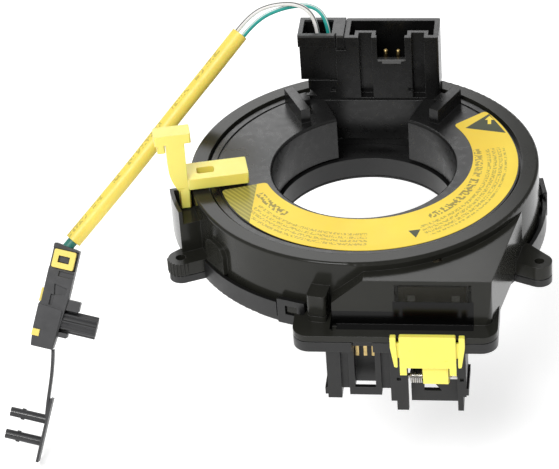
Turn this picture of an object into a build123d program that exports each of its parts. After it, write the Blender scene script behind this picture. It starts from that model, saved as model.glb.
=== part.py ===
from build123d import *
import math
import os

# Steering clock spring with its lock tab, seen from the steering wheel side.
# Origin on the spin axis at the back face of the cover floor, +Z towards the
# steering wheel, -Y towards the connector nose. Millimetres.

os.makedirs("parts", exist_ok=True)

# Case
case_radius = 54.0
case_wall = 2.0
case_height = 23.0
case_edge_round = 0.9
rim_width = 5.1
rim_inner_radius = case_radius - rim_width
rim_thickness = 1.8

# Bottom cover, with a raised land round its bore
cover_overlap = 2.2
cover_radius = case_radius + cover_overlap
cover_floor = 1.8
skirt_height = 6.8
skirt_wall = 1.2
collar_radius = 27.4
collar_wall = 1.5
cover_edge_round = 0.5
land_radius = 33.5
land_height = 0.5
skirt_gap = 0.3

# Connector nose of the case, seen from above
nose_left = -5.4
nose_right = 41.4
nose_reach = 6.2
nose_front = case_radius + nose_reach
nose_height = 20.2
nose_wall = 1.8
nose_corner = 2.6
nose_lean = 1.7
nose_flare_angle = 22.65
nose_flare_inset = 0.25
nose_flare_radius = case_radius - nose_flare_inset
nose_flare_x = nose_flare_radius * math.cos(math.radians(nose_flare_angle))
nose_flare_y = nose_flare_radius * math.sin(math.radians(nose_flare_angle))
nose_chamfer_width = 9.5
nose_chamfer_height = 7.6
tape_slot_angle = -62.0
tape_slot_width = 3.0

# Flange under the nose, split between case and cover
flange_left_margin = 11.6
flange_left = nose_left - flange_left_margin
flange_right_margin = 2.1
flange_right = nose_right + flange_right_margin
flange_reach = 6.3
flange_front = nose_front + flange_reach
flange_root = 14.0
flange_back = case_radius - flange_root
flange_split = 3.4
flange_height = 5.7
flange_corner = 5.0
parting_inset = 0.35
parting_height = 0.3
flange_notch_width = 1.4
flange_notch_reach = 3.4
flange_notch_drop = 1.0

# Screw ears
ear_reach = 0.7
ear_x = case_radius + ear_reach
ear_y = -29.0
ear_radius = 3.9
ear_hole_radius = 1.5
ear_split = 2.4
ear_height = 7.0
ear_root_radius = 5.5
ear_root_inset = 6.5
ear_root_x = case_radius - ear_root_inset
ear_root_y = -24.0
ear_ribs = 9
ear_rib_radius = 0.35
ear_rib_start = 190.0
ear_rib_span = 150.0

# Upright boss on the wall beside the nose, with a parting line near its foot
boss_angle = -99.6
boss_width = 5.8
boss_reach = 6.3
boss_round = 1.2
boss_parting = 7.7
boss_top = 14.8

# Pad on the wall beside the lock tab channel
pad_angle = 218.6
pad_width = 10.0
pad_bottom = 7.1
pad_top = 16.5
pad_thickness = 1.4
pad_round = 3.5

# Snap hooks between case and cover
snap_angles = (-109.0, 10.0, 75.0, 140.0)
snap_width = 9.0
snap_window_width = 3.8
snap_window_height = 3.2
snap_thickness = 1.4
snap_height = 8.6
snap_round = 0.4
snap_slit = 0.5
snap_catch_height = 5.0
snap_catch_depth = -0.5

# Guide channel for the lock tab on the left of the case
tab_angle = 193.5
channel_reach = 6.6
channel_outer_radius = case_radius + channel_reach
channel_wall = 1.2
channel_wall_angle = 1.2
channel_top = 22.0
channel_bottom = ear_height
channel_start = 193.0
channel_end = 206.0
channel_block_start = 197.0
channel_block_top = 17.2

# Rotor: plate, bore tube and drum moulded together
rotor_bore_radius = 28.4
rotor_tube_wall = 1.9
rotor_tube_bottom = 7.6
rotor_face = 22.1
rotor_plate_thickness = 2.0
rotor_rim_gap = 0.8
rotor_radius = rim_inner_radius - rotor_rim_gap
rotor_bore_round = 0.8
lip_clearance = 0.8
rotor_lip_radius = case_radius - case_wall - lip_clearance
rotor_lip_thickness = 0.9
rotor_groove_inset = 2.2
rotor_groove_radius = rotor_radius - rotor_groove_inset
rotor_groove_width = 0.7
rotor_groove_depth = 0.4
rim_clearance = 0.3
drum_radius = 41.0
drum_wall = 1.6
drum_bottom = 3.4

# Notch in the plate in front of the socket
notch_left = -9.7
notch_right = 11.1
notch_back_left = -15.6
notch_back_right = 16.0
notch_back = 38.0
notch_mouth = 3.0
notch_wall = 1.5

# Ribs and lugs on the rotor face
rib_angle = 116.9
rib_length = 14.6
rib_thickness = 3.2
rib_height = 5.0
rib_x = 23.6
rib_y = 31.0
lug_x = 22.3
lug_y = 35.8
lug_length = 4.6
lug_width = 3.4
lug_height = 2.6

# Snap ring that closes the rotor from below
ring_clearance = 0.3
ring_register = 1.2
rotor_float = 0.4
claw_count = 5
claw_start = -90.0
claw_height = 7.0
claw_thickness = 1.2
claw_width = 5.0
snap_play = 0.05

# Roller carrier, rollers and flat cable
carrier_clearance = 0.4
carrier_thickness = 1.2
roller_count = 6
roller_gap = 1.0
roller_space = (case_radius - case_wall - drum_radius) / 2
roller_orbit_radius = drum_radius + roller_space
roller_height = 14.4
roller_bore_radius = 1.05
roller_pin_radius = 0.95
roller_end_gap = 0.2
tape_height = 15.0
tape_roll = 1.1
roller_radius = roller_space - tape_roll - roller_gap
tape_thickness = 0.3

# Steering wheel socket on the rotor
socket_left = -8.4
socket_right = 21.5
socket_front = 38.7
socket_back = 51.0
socket_top = 45.0
socket_wall = 1.6
socket_front_wall = 1.3
socket_floor = 27.0
socket_step = 23.6
socket_foot_radius = rotor_radius
socket_round = 0.6
key_width = 4.1
key_depth = 3.2
key_centres = (-1.8, 14.9)
key_bottom = 22.7
gate_left = 1.9
gate_right = 10.8
gate_bottom = 36.9
sill_depth = 0.35
sill_rows = ((0.3, 0.2, 0.5), (1.5, 0.9, 1.6))
wheel_pin_radius = 0.7
wheel_pin_xs = (4.4, 8.4)
wheel_pin_y = 42.1
wheel_pin_top = 38.6
core_hole_size = 1.5
core_hole_xs = (-12.7, 12.2)
core_hole_z = 25.7
core_hole_depth = 1.0

# Wire block beside the socket
block_left = -23.3
block_front = 38.9
block_back = 50.4
block_bottom = 29.2
block_top = 45.6
block_cap_height = 4.2
block_cap_lip = 0.4
block_cheek_left = -11.2
block_cheek_top = 40.3
block_wall = 1.5
block_pocket_floor = 39.0
block_neck_left = -20.6
block_neck_back = 48.5
block_neck_chamfer = 2.6
block_gap = 0.1
latch_width = 2.4
latch_slot = 0.5
latch_height = 5.0

# Label on the rotor face
label_inner_radius = 32.1
label_outer_radius = 45.4
label_offset = 1.6
label_start = -161.0
label_end = 41.0
label_thickness = 0.15
label_corner = 1.2

# Lock tab
tab_clearance = 0.5
stem_outer = channel_outer_radius
stem_depth = 5.6
stem_bend_top = 33.0
stem_inner = stem_outer - stem_depth
bar_setback = 5.4
bar_outer = stem_outer - bar_setback
bar_length = 19.0
bar_inner = bar_outer - bar_length
bar_width = 9.4
bar_thickness = 3.7
bar_lift = 1.0
bar_slot_setback = 3.4
bar_slot_outer = bar_outer - bar_slot_setback
bar_slot_length = 5.4
bar_slot_inner = bar_slot_outer - bar_slot_length
bar_slot_width = 3.4
bar_slot_round = 0.8
stem_width = 4.4
head_inner_overhang = 2.1
head_inner = stem_inner - head_inner_overhang
head_outer_overhang = 3.4
head_outer = stem_outer + head_outer_overhang
head_width = 5.6
head_bottom = 41.0
head_top = 44.3
lip_inner_setback = 0.3
lip_outer_inset = 0.6
lip_bottom = 38.3
prong_inset = 2.7
prong_outer = stem_outer - prong_inset
prong_depth = 3.5
prong_inner = prong_outer - prong_depth
prong_width = 3.4
prong_bottom = channel_block_top + tab_clearance
tab_round = 0.5

# Connector block under the nose, depths below the cover's back face
base_left = -7.6
base_right = 33.8
base_setback = 4.2
base_front = flange_front - base_setback
base_root = 8.0
base_back = case_radius - base_root
base_thickness = 3.0
core_side_gap = 0.4
core_left = nose_left + nose_wall + core_side_gap
core_right = 36.0
core_setback = 2.2
core_front = nose_front - nose_wall - core_setback
core_top = 8.0
core_gap = 0.3
leg_right = -3.4
leg_depth = 20.3
leg_hook = 0.8
leg_hook_top = 16.5
leg_hook_bottom = 18.9
socket_shell_wall = 1.4
signal_left = -1.0
signal_right = 8.6
signal_depth = 19.0
signal_body = 8.1
signal_back = base_front - signal_body
signal_window_width = 6.2
pin_roof = 0.8
signal_window_depth = 16.2
panel_depth = 17.6
panel_setback = 1.5
squib_left = 11.3
squib_side_wall = 2.6
squib_post_right = 16.5
squib_post_thickness = 1.6
post_step_width = 1.7
post_step_top = 21.2
wall_step_width = 0.9
wall_step_top = 19.4
squib_depth = 24.6
squib_back_left = 17.0
squib_cavity = 4.7
squib_back_face = base_front - squib_cavity
squib_back_wall = 1.6
squib_body = 12.3
squib_base_back = base_front - squib_body
squib_window = [(20.9, -17.6), (23.8, -17.6), (26.2, -20.8), (20.9, -20.8)]
post_hole_size = 1.2
post_hole_depth = 13.0
post_hole_x = 13.8
side_tab_top = 16.4
side_tab_bottom = 18.8
side_tab_depth = 0.7
signal_pin_count = 3
signal_pin_pitch = 2.4
signal_pin_width = 1.0
signal_pin_thickness = 0.6
signal_pin_depth = 7.4
signal_pin_setback = 4.3
signal_pin_y = base_front - signal_pin_setback
signal_middle = (signal_left + signal_right) / 2
signal_window_left = signal_middle - signal_window_width / 2
squib_pin_radius = 0.5
squib_pin_depth = 7.0
squib_pin_pitch = 3.0
squib_pin_setback = 2.7
squib_pin_y = base_front - squib_pin_setback
squib_middle = (squib_post_right + base_right - squib_side_wall) / 2
pivot_bridge = 2.0

# Terminal carrier seen through the nose wall
terminal_left = 14.2
terminal_right = 34.2
terminal_top = 16.4
light_size = 2.4
light_xs = (17.9, 31.0)
light_z = 12.2
light_depth = 0.5

# Sprung lock lever over the airbag socket
pivot_setback = 2.3
pivot_y = base_front - pivot_setback
pivot_z = -13.4
pin_radius = 0.9
pin_clearance = 0.1
flange_gap = 0.4
lever_thickness = 1.5
lever_left = 14.8
lever_right = 31.4
lever_top = 7.2
lever_bottom = -4.2
lever_arm_width = 2.0
lever_arm_bottom = -6.3
lever_middle = (lever_left + lever_right) / 2
lever_ear = [(9.2, 7.0), (10.95, 7.0), (10.95, 3.2), (9.9, -3.8), (8.9, -4.1), (8.9, -1.0), (9.2, 4.4)]
lever_ear_round = 0.35
lever_bridge_half = 10.0
lever_bridge_top = 4.4
lever_bridge_bottom = -0.9
lever_bridge_thickness = 0.8
lever_round = 0.5
lever_block_left = 21.3
lever_block_right = 28.8
lever_block_top = -2.6
lever_eye_radius = 2.0
spring_wire = 0.5
spring_radius = 1.9
spring_turns = 6.0
spring_left = 17.3
spring_length = 3.6

# Lead from the wire block to the airbag plug
wire_diameter = 1.5
sheath_diameter = 5.4
wire_spacing = 1.3
entry_run = 7.0
white_points = [
    (-17.2, 44.4, block_pocket_floor),
    (-17.2, 44.4, 48.0),
    (-22.4, 45.6, 54.2),
    (-31.6, 45.4, 53.4),
]
green_points = [
    (-13.7, 44.8, block_pocket_floor),
    (-13.7, 44.8, 47.4),
    (-18.6, 48.0, 52.4),
    (-27.8, 47.2, 51.4),
]
sheath_points = [
    (-41.8, 40.2, 45.5),
    (-50.0, 33.0, 37.4),
    (-61.2, 24.2, 26.4),
    (-74.6, 12.6, 13.0),
    (-86.2, 3.6, 1.8),
    (-94.0, -2.9, -5.4),
]

# Airbag plug, in a plane of its own: along, across and towards the viewer
plug_origin = (-95.3, -3.4, -5.9)
plug_axis = (-0.2167, -0.5787, -0.7863)
plug_normal = (0.1204, -0.8151, 0.5667)
plug_length = 34.2
plug_half_width = 4.2
plug_half_depth = 4.0
plug_shoulder = 20.6
neck_radius = 1.7
neck_length = 3.6
plug_round = 0.5
plug_face_rise = 0.4
plug_slot = ((9.3, -0.7), (10.9, 4.4))
plug_wedge = [(13.5, -1.2), (14.3, 3.0), (16.3, 2.9), (17.0, -0.6)]
plug_groove = ((16.9, -1.6), (20.4, -0.5))
plug_recess_depth = 0.9
insert_start = 12.0
insert_end = 31.6
insert_depth = 3.0
insert_half_depth = 2.2
insert_bit_start = 15.6
insert_bit_end = 20.0
insert_bit_reach = 0.8
insert_window_start = 28.7
insert_window_end = 30.9
insert_window_inner = -2.4
insert_gap = 0.1
arm_start = 17.6
arm_end = 29.8
arm_half_depth = 3.2
arm_web_reach = 5.4
arm_cheeks = ((17.6, 21.0, 8.2), (28.2, 29.8, 6.4))
arm_nose_centre = 24.6
arm_nose_radius = 3.1
arm_nose_reach = 14.9
arm_rib_count = 8
arm_rib_radius = 0.5
clip_start = 2.5
clip_end = 8.4
clip_half_width = 3.5
clip_rise = 1.3
clip_depth = 1.6
clip_window_start = 4.4
clip_window_end = 6.6
clip_window_half = 1.8
clip_gap = 0.15
strap_thickness = 0.9
strap_width = 4.0
strap_points = [(plug_length, 2.8), (37.6, 3.5), (43.0, 4.3), (49.6, 4.9), (55.6, 5.7)]
tether_plate_start = 49.4
tether_plate_end = 70.0
tether_plate_across = 6.1
tether_plate_thickness = 0.8
tether_plate_width = 8.0
tether_pin_starts = (56.4, 63.6)
tether_pin_radius = 1.5
tether_pin_reach = 12.0
tether_pin_slot = 0.3
tether_barb = 0.6

sub_parts = {}


def keep(name, sub_part):
    """Give a finished sub-part its label and file it under that name."""
    sub_part.part.label = name
    sub_parts[name] = sub_part.part


def polar(radius, degrees, centre=(0, 0)):
    """Point in the XY plane at a radius and an angle about a centre."""
    angle = math.radians(degrees)
    return (centre[0] + radius * math.cos(angle), centre[1] + radius * math.sin(angle))


def sector(inner, outer, start, end, centre=(0, 0)):
    """Draw a ring sector as a face of the sketch in use."""
    with BuildLine() as edge:
        CenterArc(centre, outer, start, end - start)
        CenterArc(centre, inner, start, end - start)
        Line(polar(inner, start, centre), polar(outer, start, centre))
        Line(polar(inner, end, centre), polar(outer, end, centre))
    make_face(edge.edges())


def box_between(low, high, mode=Mode.ADD):
    """Box given by its lowest and highest corners."""
    middle = tuple((a + b) / 2 for a, b in zip(low, high))
    with Locations(middle):
        Box(high[0] - low[0], high[1] - low[1], high[2] - low[2], mode=mode)


def ring_cut(radius, bottom, top):
    """Remove a round space on the spin axis between two heights."""
    with BuildSketch(Plane.XY.offset(bottom)) as disc:
        Circle(radius)
    extrude(disc.sketch, amount=top - bottom, mode=Mode.SUBTRACT)


def nose_outline(inset):
    """Draw the nose seen from above, with its walls moved in by inset."""
    slope = (nose_flare_x - nose_right) / (nose_front - nose_flare_y)
    side_shift = inset * math.hypot(1, slope)
    with BuildLine() as edge:
        Polyline(
            (nose_left + inset, -nose_front + inset),
            (nose_right - side_shift + slope * inset, -nose_front + inset),
            (nose_flare_x - side_shift, -nose_flare_y),
            (nose_left + inset, -nose_flare_y),
            close=True,
        )
    make_face(edge.edges())


def nose_block(inset, bottom):
    """The nose as a solid, or with an inset its hollow."""
    corner = nose_height - nose_chamfer_height - inset / 2
    top = nose_height - inset
    with BuildPart() as block:
        with BuildSketch(Plane.XY.offset(bottom)) as outline:
            nose_outline(inset)
            front_corners = outline.vertices().group_by(Axis.Y)[0]
            fillet(front_corners.sort_by(Axis.X)[-1], nose_corner - inset)
        extrude(amount=top - bottom)
        with BuildSketch(Plane.XZ):
            with BuildLine():
                Polyline(
                    (nose_left + inset, corner),
                    (nose_left + nose_chamfer_width + inset / 2, top),
                    (nose_left + nose_chamfer_width + inset / 2, top + 1),
                    (nose_left - 1, top + 1),
                    (nose_left - 1, corner),
                    close=True,
                )
            make_face()
        extrude(amount=nose_front + 1, mode=Mode.SUBTRACT)
        with BuildSketch(Plane.YZ.offset(nose_left - 1)):
            with BuildLine():
                Polyline(
                    (-nose_front + inset, flange_height),
                    (-nose_front + inset + nose_lean, nose_height),
                    (-nose_front - 1, nose_height),
                    (-nose_front - 1, flange_height),
                    close=True,
                )
            make_face()
        extrude(amount=nose_right - nose_left + 2, mode=Mode.SUBTRACT)
    return block.part


def flange_outline(grow=0.0):
    """Draw the flange under the nose."""
    with Locations(((flange_left + flange_right) / 2, -(flange_front + flange_back) / 2)):
        RectangleRounded(
            flange_right - flange_left + 2 * grow,
            flange_front - flange_back + 2 * grow,
            flange_corner + grow,
        )


def ear_outline(side, grow=0.0):
    """Draw one screw ear, joined to the case by its tangents."""
    with BuildSketch(mode=Mode.PRIVATE) as ear:
        with Locations((side * ear_x, ear_y)):
            Circle(ear_radius + grow)
        with Locations((side * ear_root_x, ear_root_y)):
            Circle(ear_root_radius + grow)
        make_hull()
    add(ear.sketch)


def wall_plane(angle, radius):
    """Plane touching the case wall: X along the wall, Y up, Z outwards."""
    x, y = polar(1, angle)
    return Plane(origin=(radius * x, radius * y, 0), x_dir=(-y, x, 0), z_dir=(x, y, 0))


def tab_plane(height):
    """Level plane with X along the lock tab's radius and Y across it."""
    x, y = polar(1, tab_angle)
    return Plane(origin=(0, 0, height), x_dir=(x, y, 0), z_dir=(0, 0, 1))


def tab_block(inner, outer, width, bottom, top):
    """Block behind the lock tab's front face, with rounded upright edges."""
    with BuildSketch(tab_plane(bottom)) as foot:
        with Locations(((inner + outer) / 2, (bar_width - width) / 2)):
            RectangleRounded(outer - inner, width, tab_round)
    extrude(foot.sketch, amount=top - bottom)


def lead_route(points, side):
    """Wire route that ends on the sheath's first face, beside its middle."""
    start = Vector(sheath_points[0])
    along = (Vector(sheath_points[1]) - start).normalized()
    across = along.cross(Vector(plug_normal)).normalized()
    last = start + across * (side * wire_spacing)
    return points + [tuple(last - along * entry_run), tuple(last)]


def cord(points, diameter):
    """Round cord along straight runs joined by tangent arcs."""
    runs = [Vector(b) - Vector(a) for a, b in zip(points, points[1:])]
    radii = []
    for before, after in zip(runs, runs[1:]):
        turn = math.radians(before.get_angle(after))
        radii.append(0.45 * min(before.length, after.length) / math.tan(turn / 2))
    print("cord radii", [round(radius, 1) for radius in radii])
    with BuildPart() as tube:
        with BuildLine() as path:
            FilletPolyline(*points, radius=radii)
        with BuildSketch(Plane(origin=points[0], z_dir=runs[0])):
            Circle(diameter / 2)
        sweep(path=path.wires()[0])
    length = path.wires()[0].length
    section = math.pi * diameter**2 / 4
    print("cord length", round(length, 1), "volume ratio", round(tube.part.volume / length / section, 4))
    return tube


# Upper case: wall and rim, nose, upper flange, upper ears, lock tab channel
nose_outer = nose_block(0, flange_split)
nose_hollow = nose_block(nose_wall, cover_floor)

with BuildPart() as upper_case:
    add(nose_outer)
    with BuildSketch(Plane.XY.offset(flange_split)):
        flange_outline(-parting_inset)
    extrude(amount=parting_height)
    with BuildSketch(Plane.XY.offset(flange_split + parting_height)):
        flange_outline()
    extrude(amount=flange_height - flange_split - parting_height)
    box_between(
        (nose_left, -nose_front - flange_notch_reach, flange_height - flange_notch_drop),
        (nose_left + flange_notch_width, -nose_front, nose_height),
        mode=Mode.SUBTRACT,
    )
    for angle in snap_angles:
        with BuildSketch(wall_plane(angle, case_radius)):
            with Locations((0, snap_height / 2)):
                Rectangle(snap_width + 2 * skirt_gap, snap_height + 2 * skirt_gap)
        extrude(amount=cover_radius + snap_thickness + skirt_gap - case_radius, mode=Mode.SUBTRACT)
    for side in (-1, 1):
        with BuildSketch(Plane.XY.offset(ear_split)):
            ear_outline(side, -parting_inset)
        extrude(amount=parting_height)
        with BuildSketch(Plane.XY.offset(ear_split + parting_height)):
            ear_outline(side)
        extrude(amount=ear_height - ear_split - parting_height)
    with BuildSketch(Plane.XY.offset(ear_split + parting_height)):
        with Locations((-ear_x, ear_y)):
            with PolarLocations(ear_radius, ear_ribs, ear_rib_start, ear_rib_span):
                Circle(ear_rib_radius)
    extrude(amount=ear_height - ear_split - parting_height)
    with BuildSketch(Plane.XY.offset(channel_bottom)):
        sector(case_radius - 1, channel_outer_radius, channel_start, channel_end)
    extrude(amount=channel_top - channel_bottom)
    with BuildSketch(Plane.XY.offset(channel_bottom)):
        sector(case_radius, channel_outer_radius - channel_wall,
               channel_start + channel_wall_angle, channel_end + 1)
    extrude(amount=channel_top - channel_bottom, mode=Mode.SUBTRACT)
    with BuildSketch(Plane.XY.offset(channel_bottom)):
        sector(case_radius, channel_outer_radius - channel_wall, channel_block_start, channel_end)
    extrude(amount=channel_block_top - channel_bottom)
    with BuildSketch(wall_plane(pad_angle, case_radius - case_wall / 2)) as pad:
        with Locations((0, (pad_bottom + pad_top) / 2)):
            Rectangle(pad_width, pad_top - pad_bottom)
        fillet(pad.vertices().group_by(Axis.Y)[-1], pad_round)
    extrude(amount=case_wall / 2 + pad_thickness)
    add(nose_hollow, mode=Mode.SUBTRACT)
    ring_cut(case_radius - case_wall, cover_floor, case_height - rim_thickness)
    with BuildSketch(Plane.XZ) as section:
        with BuildLine():
            Polyline(
                (case_radius - case_wall, cover_floor),
                (case_radius, cover_floor),
                (case_radius, case_height),
                (rim_inner_radius, case_height),
                (rim_inner_radius, case_height - rim_thickness),
                (case_radius - case_wall, case_height - rim_thickness),
                close=True,
            )
        make_face()
        fillet(section.vertices().sort_by(Axis.Y)[-2:].sort_by(Axis.X)[-1], case_edge_round)
    revolve(axis=Axis.Z)
    boss_root = case_radius - case_wall / 2
    boss_layers = (
        (flange_height - parting_height, boss_parting, 0.0),
        (boss_parting, boss_parting + parting_height, parting_inset),
        (boss_parting + parting_height, boss_top, 0.0),
    )
    for layer_bottom, layer_top, inset in boss_layers:
        boss_plane = wall_plane(boss_angle, boss_root)
        with BuildSketch(Plane(origin=boss_plane.origin + Vector(0, 0, layer_bottom),
                               x_dir=boss_plane.z_dir, z_dir=(0, 0, 1))):
            with Locations(((case_radius + boss_reach - inset - boss_root) / 2, 0)):
                RectangleRounded(
                    case_radius + boss_reach - inset - boss_root, boss_width - 2 * inset, boss_round
                )
        extrude(amount=layer_top - layer_bottom)
    for angle in snap_angles:
        with BuildSketch(wall_plane(angle, case_radius - case_wall / 2)):
            with Locations((0, snap_catch_height)):
                Rectangle(snap_window_width - 2 * skirt_gap, snap_window_height - 2 * skirt_gap)
        extrude(amount=case_wall / 2 + cover_radius - case_radius + snap_catch_depth)
    with BuildSketch(wall_plane(tape_slot_angle, case_radius - case_wall - 1)):
        with Locations((0, (cover_floor + case_height) / 2)):
            Rectangle(tape_slot_width, tape_height + 1)
    extrude(amount=case_wall + 2, mode=Mode.SUBTRACT)
    ring_cut(case_radius - case_wall, cover_floor, case_height - rim_thickness)
    with Locations((ear_x, ear_y, ear_height), (-ear_x, ear_y, ear_height)):
        Hole(ear_hole_radius)
keep("upper_case", upper_case)

# Bottom cover: floor, skirt, bore collar, lower flange, lower ears, snap loops
with BuildPart() as bottom_cover:
    with BuildSketch(Plane.XZ) as section:
        with BuildLine():
            Polyline(
                (collar_radius, 0),
                (cover_radius, 0),
                (cover_radius, skirt_height),
                (cover_radius - skirt_wall, skirt_height),
                (cover_radius - skirt_wall, cover_floor),
                (collar_radius + collar_wall, cover_floor),
                (collar_radius + collar_wall, skirt_height),
                (collar_radius, skirt_height),
                close=True,
            )
        make_face()
        fillet(section.vertices().group_by(Axis.Y)[0], cover_edge_round)
    revolve(axis=Axis.Z)
    for angle in snap_angles:
        with BuildSketch(wall_plane(angle, case_radius)):
            with Locations((0, (cover_floor + snap_height) / 2)):
                Rectangle(snap_width + 2 * snap_slit, snap_height - cover_floor)
        extrude(amount=cover_overlap + 1, mode=Mode.SUBTRACT)
    with BuildSketch(Plane.XY.offset(flange_split)):
        flange_outline(skirt_gap)
        nose_outline(-skirt_gap)
    extrude(amount=skirt_height, mode=Mode.SUBTRACT)
    with BuildSketch(Plane.XY.offset(ear_split)):
        ear_outline(-1, skirt_gap)
        ear_outline(1, skirt_gap)
    extrude(amount=ear_height, mode=Mode.SUBTRACT)
    with BuildSketch():
        flange_outline()
    extrude(amount=flange_split)
    with BuildSketch():
        ear_outline(-1)
        ear_outline(1)
    extrude(amount=ear_split)
    for angle in snap_angles:
        with BuildSketch(wall_plane(angle, cover_radius - skirt_wall)):
            with Locations((0, snap_height / 2)):
                RectangleRounded(snap_width, snap_height, snap_round)
            with Locations((0, snap_catch_height)):
                Rectangle(snap_window_width, snap_window_height, mode=Mode.SUBTRACT)
        extrude(amount=snap_thickness)
        with BuildSketch(wall_plane(angle, cover_radius - skirt_wall - 1)):
            with Locations((0, snap_catch_height)):
                Rectangle(snap_window_width, snap_window_height)
        extrude(amount=snap_thickness + 2, mode=Mode.SUBTRACT)
    with BuildSketch(Plane.XY.offset(cover_floor)):
        Circle(case_radius + core_gap)
        Circle(collar_radius + collar_wall, mode=Mode.SUBTRACT)
    extrude(amount=ear_height, mode=Mode.SUBTRACT)
    with BuildSketch():
        with Locations(((core_left + core_right) / 2, -(core_front + base_back) / 2)):
            Rectangle(core_right - core_left + 2 * core_gap, core_front - base_back + 2 * core_gap)
        Circle(case_radius, mode=Mode.SUBTRACT)
    extrude(amount=flange_split, mode=Mode.SUBTRACT)
    box_between(
        (signal_window_left, -flange_front - 1, -1),
        (signal_window_left + signal_window_width, -base_front, flange_split),
        mode=Mode.SUBTRACT,
    )
    with Locations((ear_x, ear_y, ear_height), (-ear_x, ear_y, ear_height)):
        Hole(ear_hole_radius)
    with BuildSketch(Plane.XY.offset(-land_height)):
        Circle(land_radius)
    extrude(amount=land_height)
    ring_cut(collar_radius, -land_height, flange_split)
keep("bottom_cover", bottom_cover)

# Rotor: face plate, bore tube, drum, notch in front of the socket, ribs
with BuildPart() as rotor_plate:
    tube_radius = rotor_bore_radius + rotor_tube_wall
    plate_bottom = rotor_face - rotor_plate_thickness
    lip_top = case_height - rim_thickness - rim_clearance
    lip_bottom = lip_top - rotor_lip_thickness
    with BuildSketch(Plane.XZ) as section:
        with BuildLine():
            Polyline(
                (rotor_bore_radius, rotor_tube_bottom),
                (tube_radius, rotor_tube_bottom),
                (tube_radius, plate_bottom),
                (drum_radius - drum_wall, plate_bottom),
                (drum_radius - drum_wall, drum_bottom),
                (drum_radius, drum_bottom),
                (drum_radius, lip_bottom),
                (rotor_lip_radius, lip_bottom),
                (rotor_lip_radius, lip_top),
                (rotor_radius, lip_top),
                (rotor_radius, rotor_face),
                (rotor_bore_radius, rotor_face),
                close=True,
            )
        make_face()
        fillet(section.vertices().sort_by(Axis.Y)[-2:].sort_by(Axis.X)[0], rotor_bore_round)
        with Locations((rotor_groove_radius, rotor_face)):
            Rectangle(rotor_groove_width, 2 * rotor_groove_depth, mode=Mode.SUBTRACT)
    revolve(axis=Axis.Z)
    with BuildSketch(Plane.XY.offset(rotor_tube_bottom)) as notch:
        with BuildLine():
            Polyline(
                (notch_left, 0),
                (notch_left, math.sqrt(rotor_bore_radius**2 - notch_left**2) - notch_mouth),
                (notch_back_left, notch_back),
                (notch_back_right, notch_back),
                (notch_right, math.sqrt(rotor_bore_radius**2 - notch_right**2) - notch_mouth),
                (notch_right, 0),
                close=True,
            )
        make_face()
    with BuildSketch(Plane.XY.offset(rotor_tube_bottom)):
        offset(notch.sketch, amount=notch_wall, kind=Kind.INTERSECTION)
        Circle(drum_radius, mode=Mode.INTERSECT)
        Circle(rotor_bore_radius, mode=Mode.SUBTRACT)
    extrude(amount=plate_bottom - rotor_tube_bottom)
    extrude(notch.sketch, amount=case_height, mode=Mode.SUBTRACT)
    for side in (-1, 1):
        angle = rib_angle if side < 0 else 180 - rib_angle
        with BuildSketch(Plane.XY.offset(rotor_face)):
            with Locations(Location((side * rib_x, rib_y, 0), (0, 0, angle))):
                Rectangle(rib_length, rib_thickness)
            with Locations(Location((side * lug_x, lug_y, 0), (0, 0, angle))):
                Rectangle(lug_length, lug_width)
        extrude(amount=lug_height)
        with BuildSketch(Plane.XY.offset(rotor_face)):
            with Locations(Location((side * rib_x, rib_y, 0), (0, 0, angle))):
                Rectangle(rib_length, rib_thickness)
        extrude(amount=rib_height)
keep("rotor_plate", rotor_plate)

# Retainer that closes the rotor from below and runs on the cover's collar
with BuildPart() as rotor_retainer:
    bearing_radius = collar_radius + collar_wall + ring_clearance
    ring_bottom = cover_floor + rotor_float
    register_radius = drum_radius - drum_wall - snap_play
    with BuildSketch(Plane.XZ):
        with BuildLine():
            Polyline(
                (bearing_radius, ring_bottom),
                (drum_radius, ring_bottom),
                (drum_radius, drum_bottom),
                (register_radius, drum_bottom),
                (register_radius, drum_bottom + ring_register),
                (bearing_radius, drum_bottom + ring_register),
                close=True,
            )
        make_face()
    revolve(axis=Axis.Z)
    claw_bottom = drum_bottom + ring_register
    with BuildSketch(Plane.XY.offset(claw_bottom)):
        with PolarLocations(tube_radius + claw_thickness / 2, claw_count, claw_start):
            Rectangle(claw_thickness, claw_width)
        Circle(tube_radius + snap_play, mode=Mode.SUBTRACT)
    extrude(amount=rotor_tube_bottom + claw_height - claw_bottom)
keep("rotor_retainer", rotor_retainer)

# Roller carrier, rollers and the flat cable they guide
carrier_bottom = cover_floor + rotor_float
carrier_top = carrier_bottom + carrier_thickness
carrier_inner_radius = drum_radius + carrier_clearance
carrier_outer_radius = case_radius - case_wall - carrier_clearance
roller_angles = [index * 360 / roller_count for index in range(roller_count)]

with BuildPart() as roller_carrier:
    with BuildSketch(Plane.XY.offset(carrier_bottom)):
        Circle(carrier_outer_radius)
        Circle(carrier_inner_radius, mode=Mode.SUBTRACT)
    extrude(amount=carrier_thickness)
    with BuildSketch(Plane.XY.offset(carrier_top)):
        with PolarLocations(roller_orbit_radius, roller_count):
            Circle(roller_pin_radius)
    extrude(amount=roller_height + 3 * roller_end_gap)
keep("roller_carrier", roller_carrier)

for number, angle in enumerate(roller_angles, start=1):
    with BuildPart() as roller:
        with BuildSketch(Plane.XY.offset(carrier_top + roller_end_gap)):
            with Locations(polar(roller_orbit_radius, angle)):
                Circle(roller_radius)
                Circle(roller_bore_radius, mode=Mode.SUBTRACT)
        extrude(amount=roller_height)
    keep(f"roller_{number}", roller)

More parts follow.
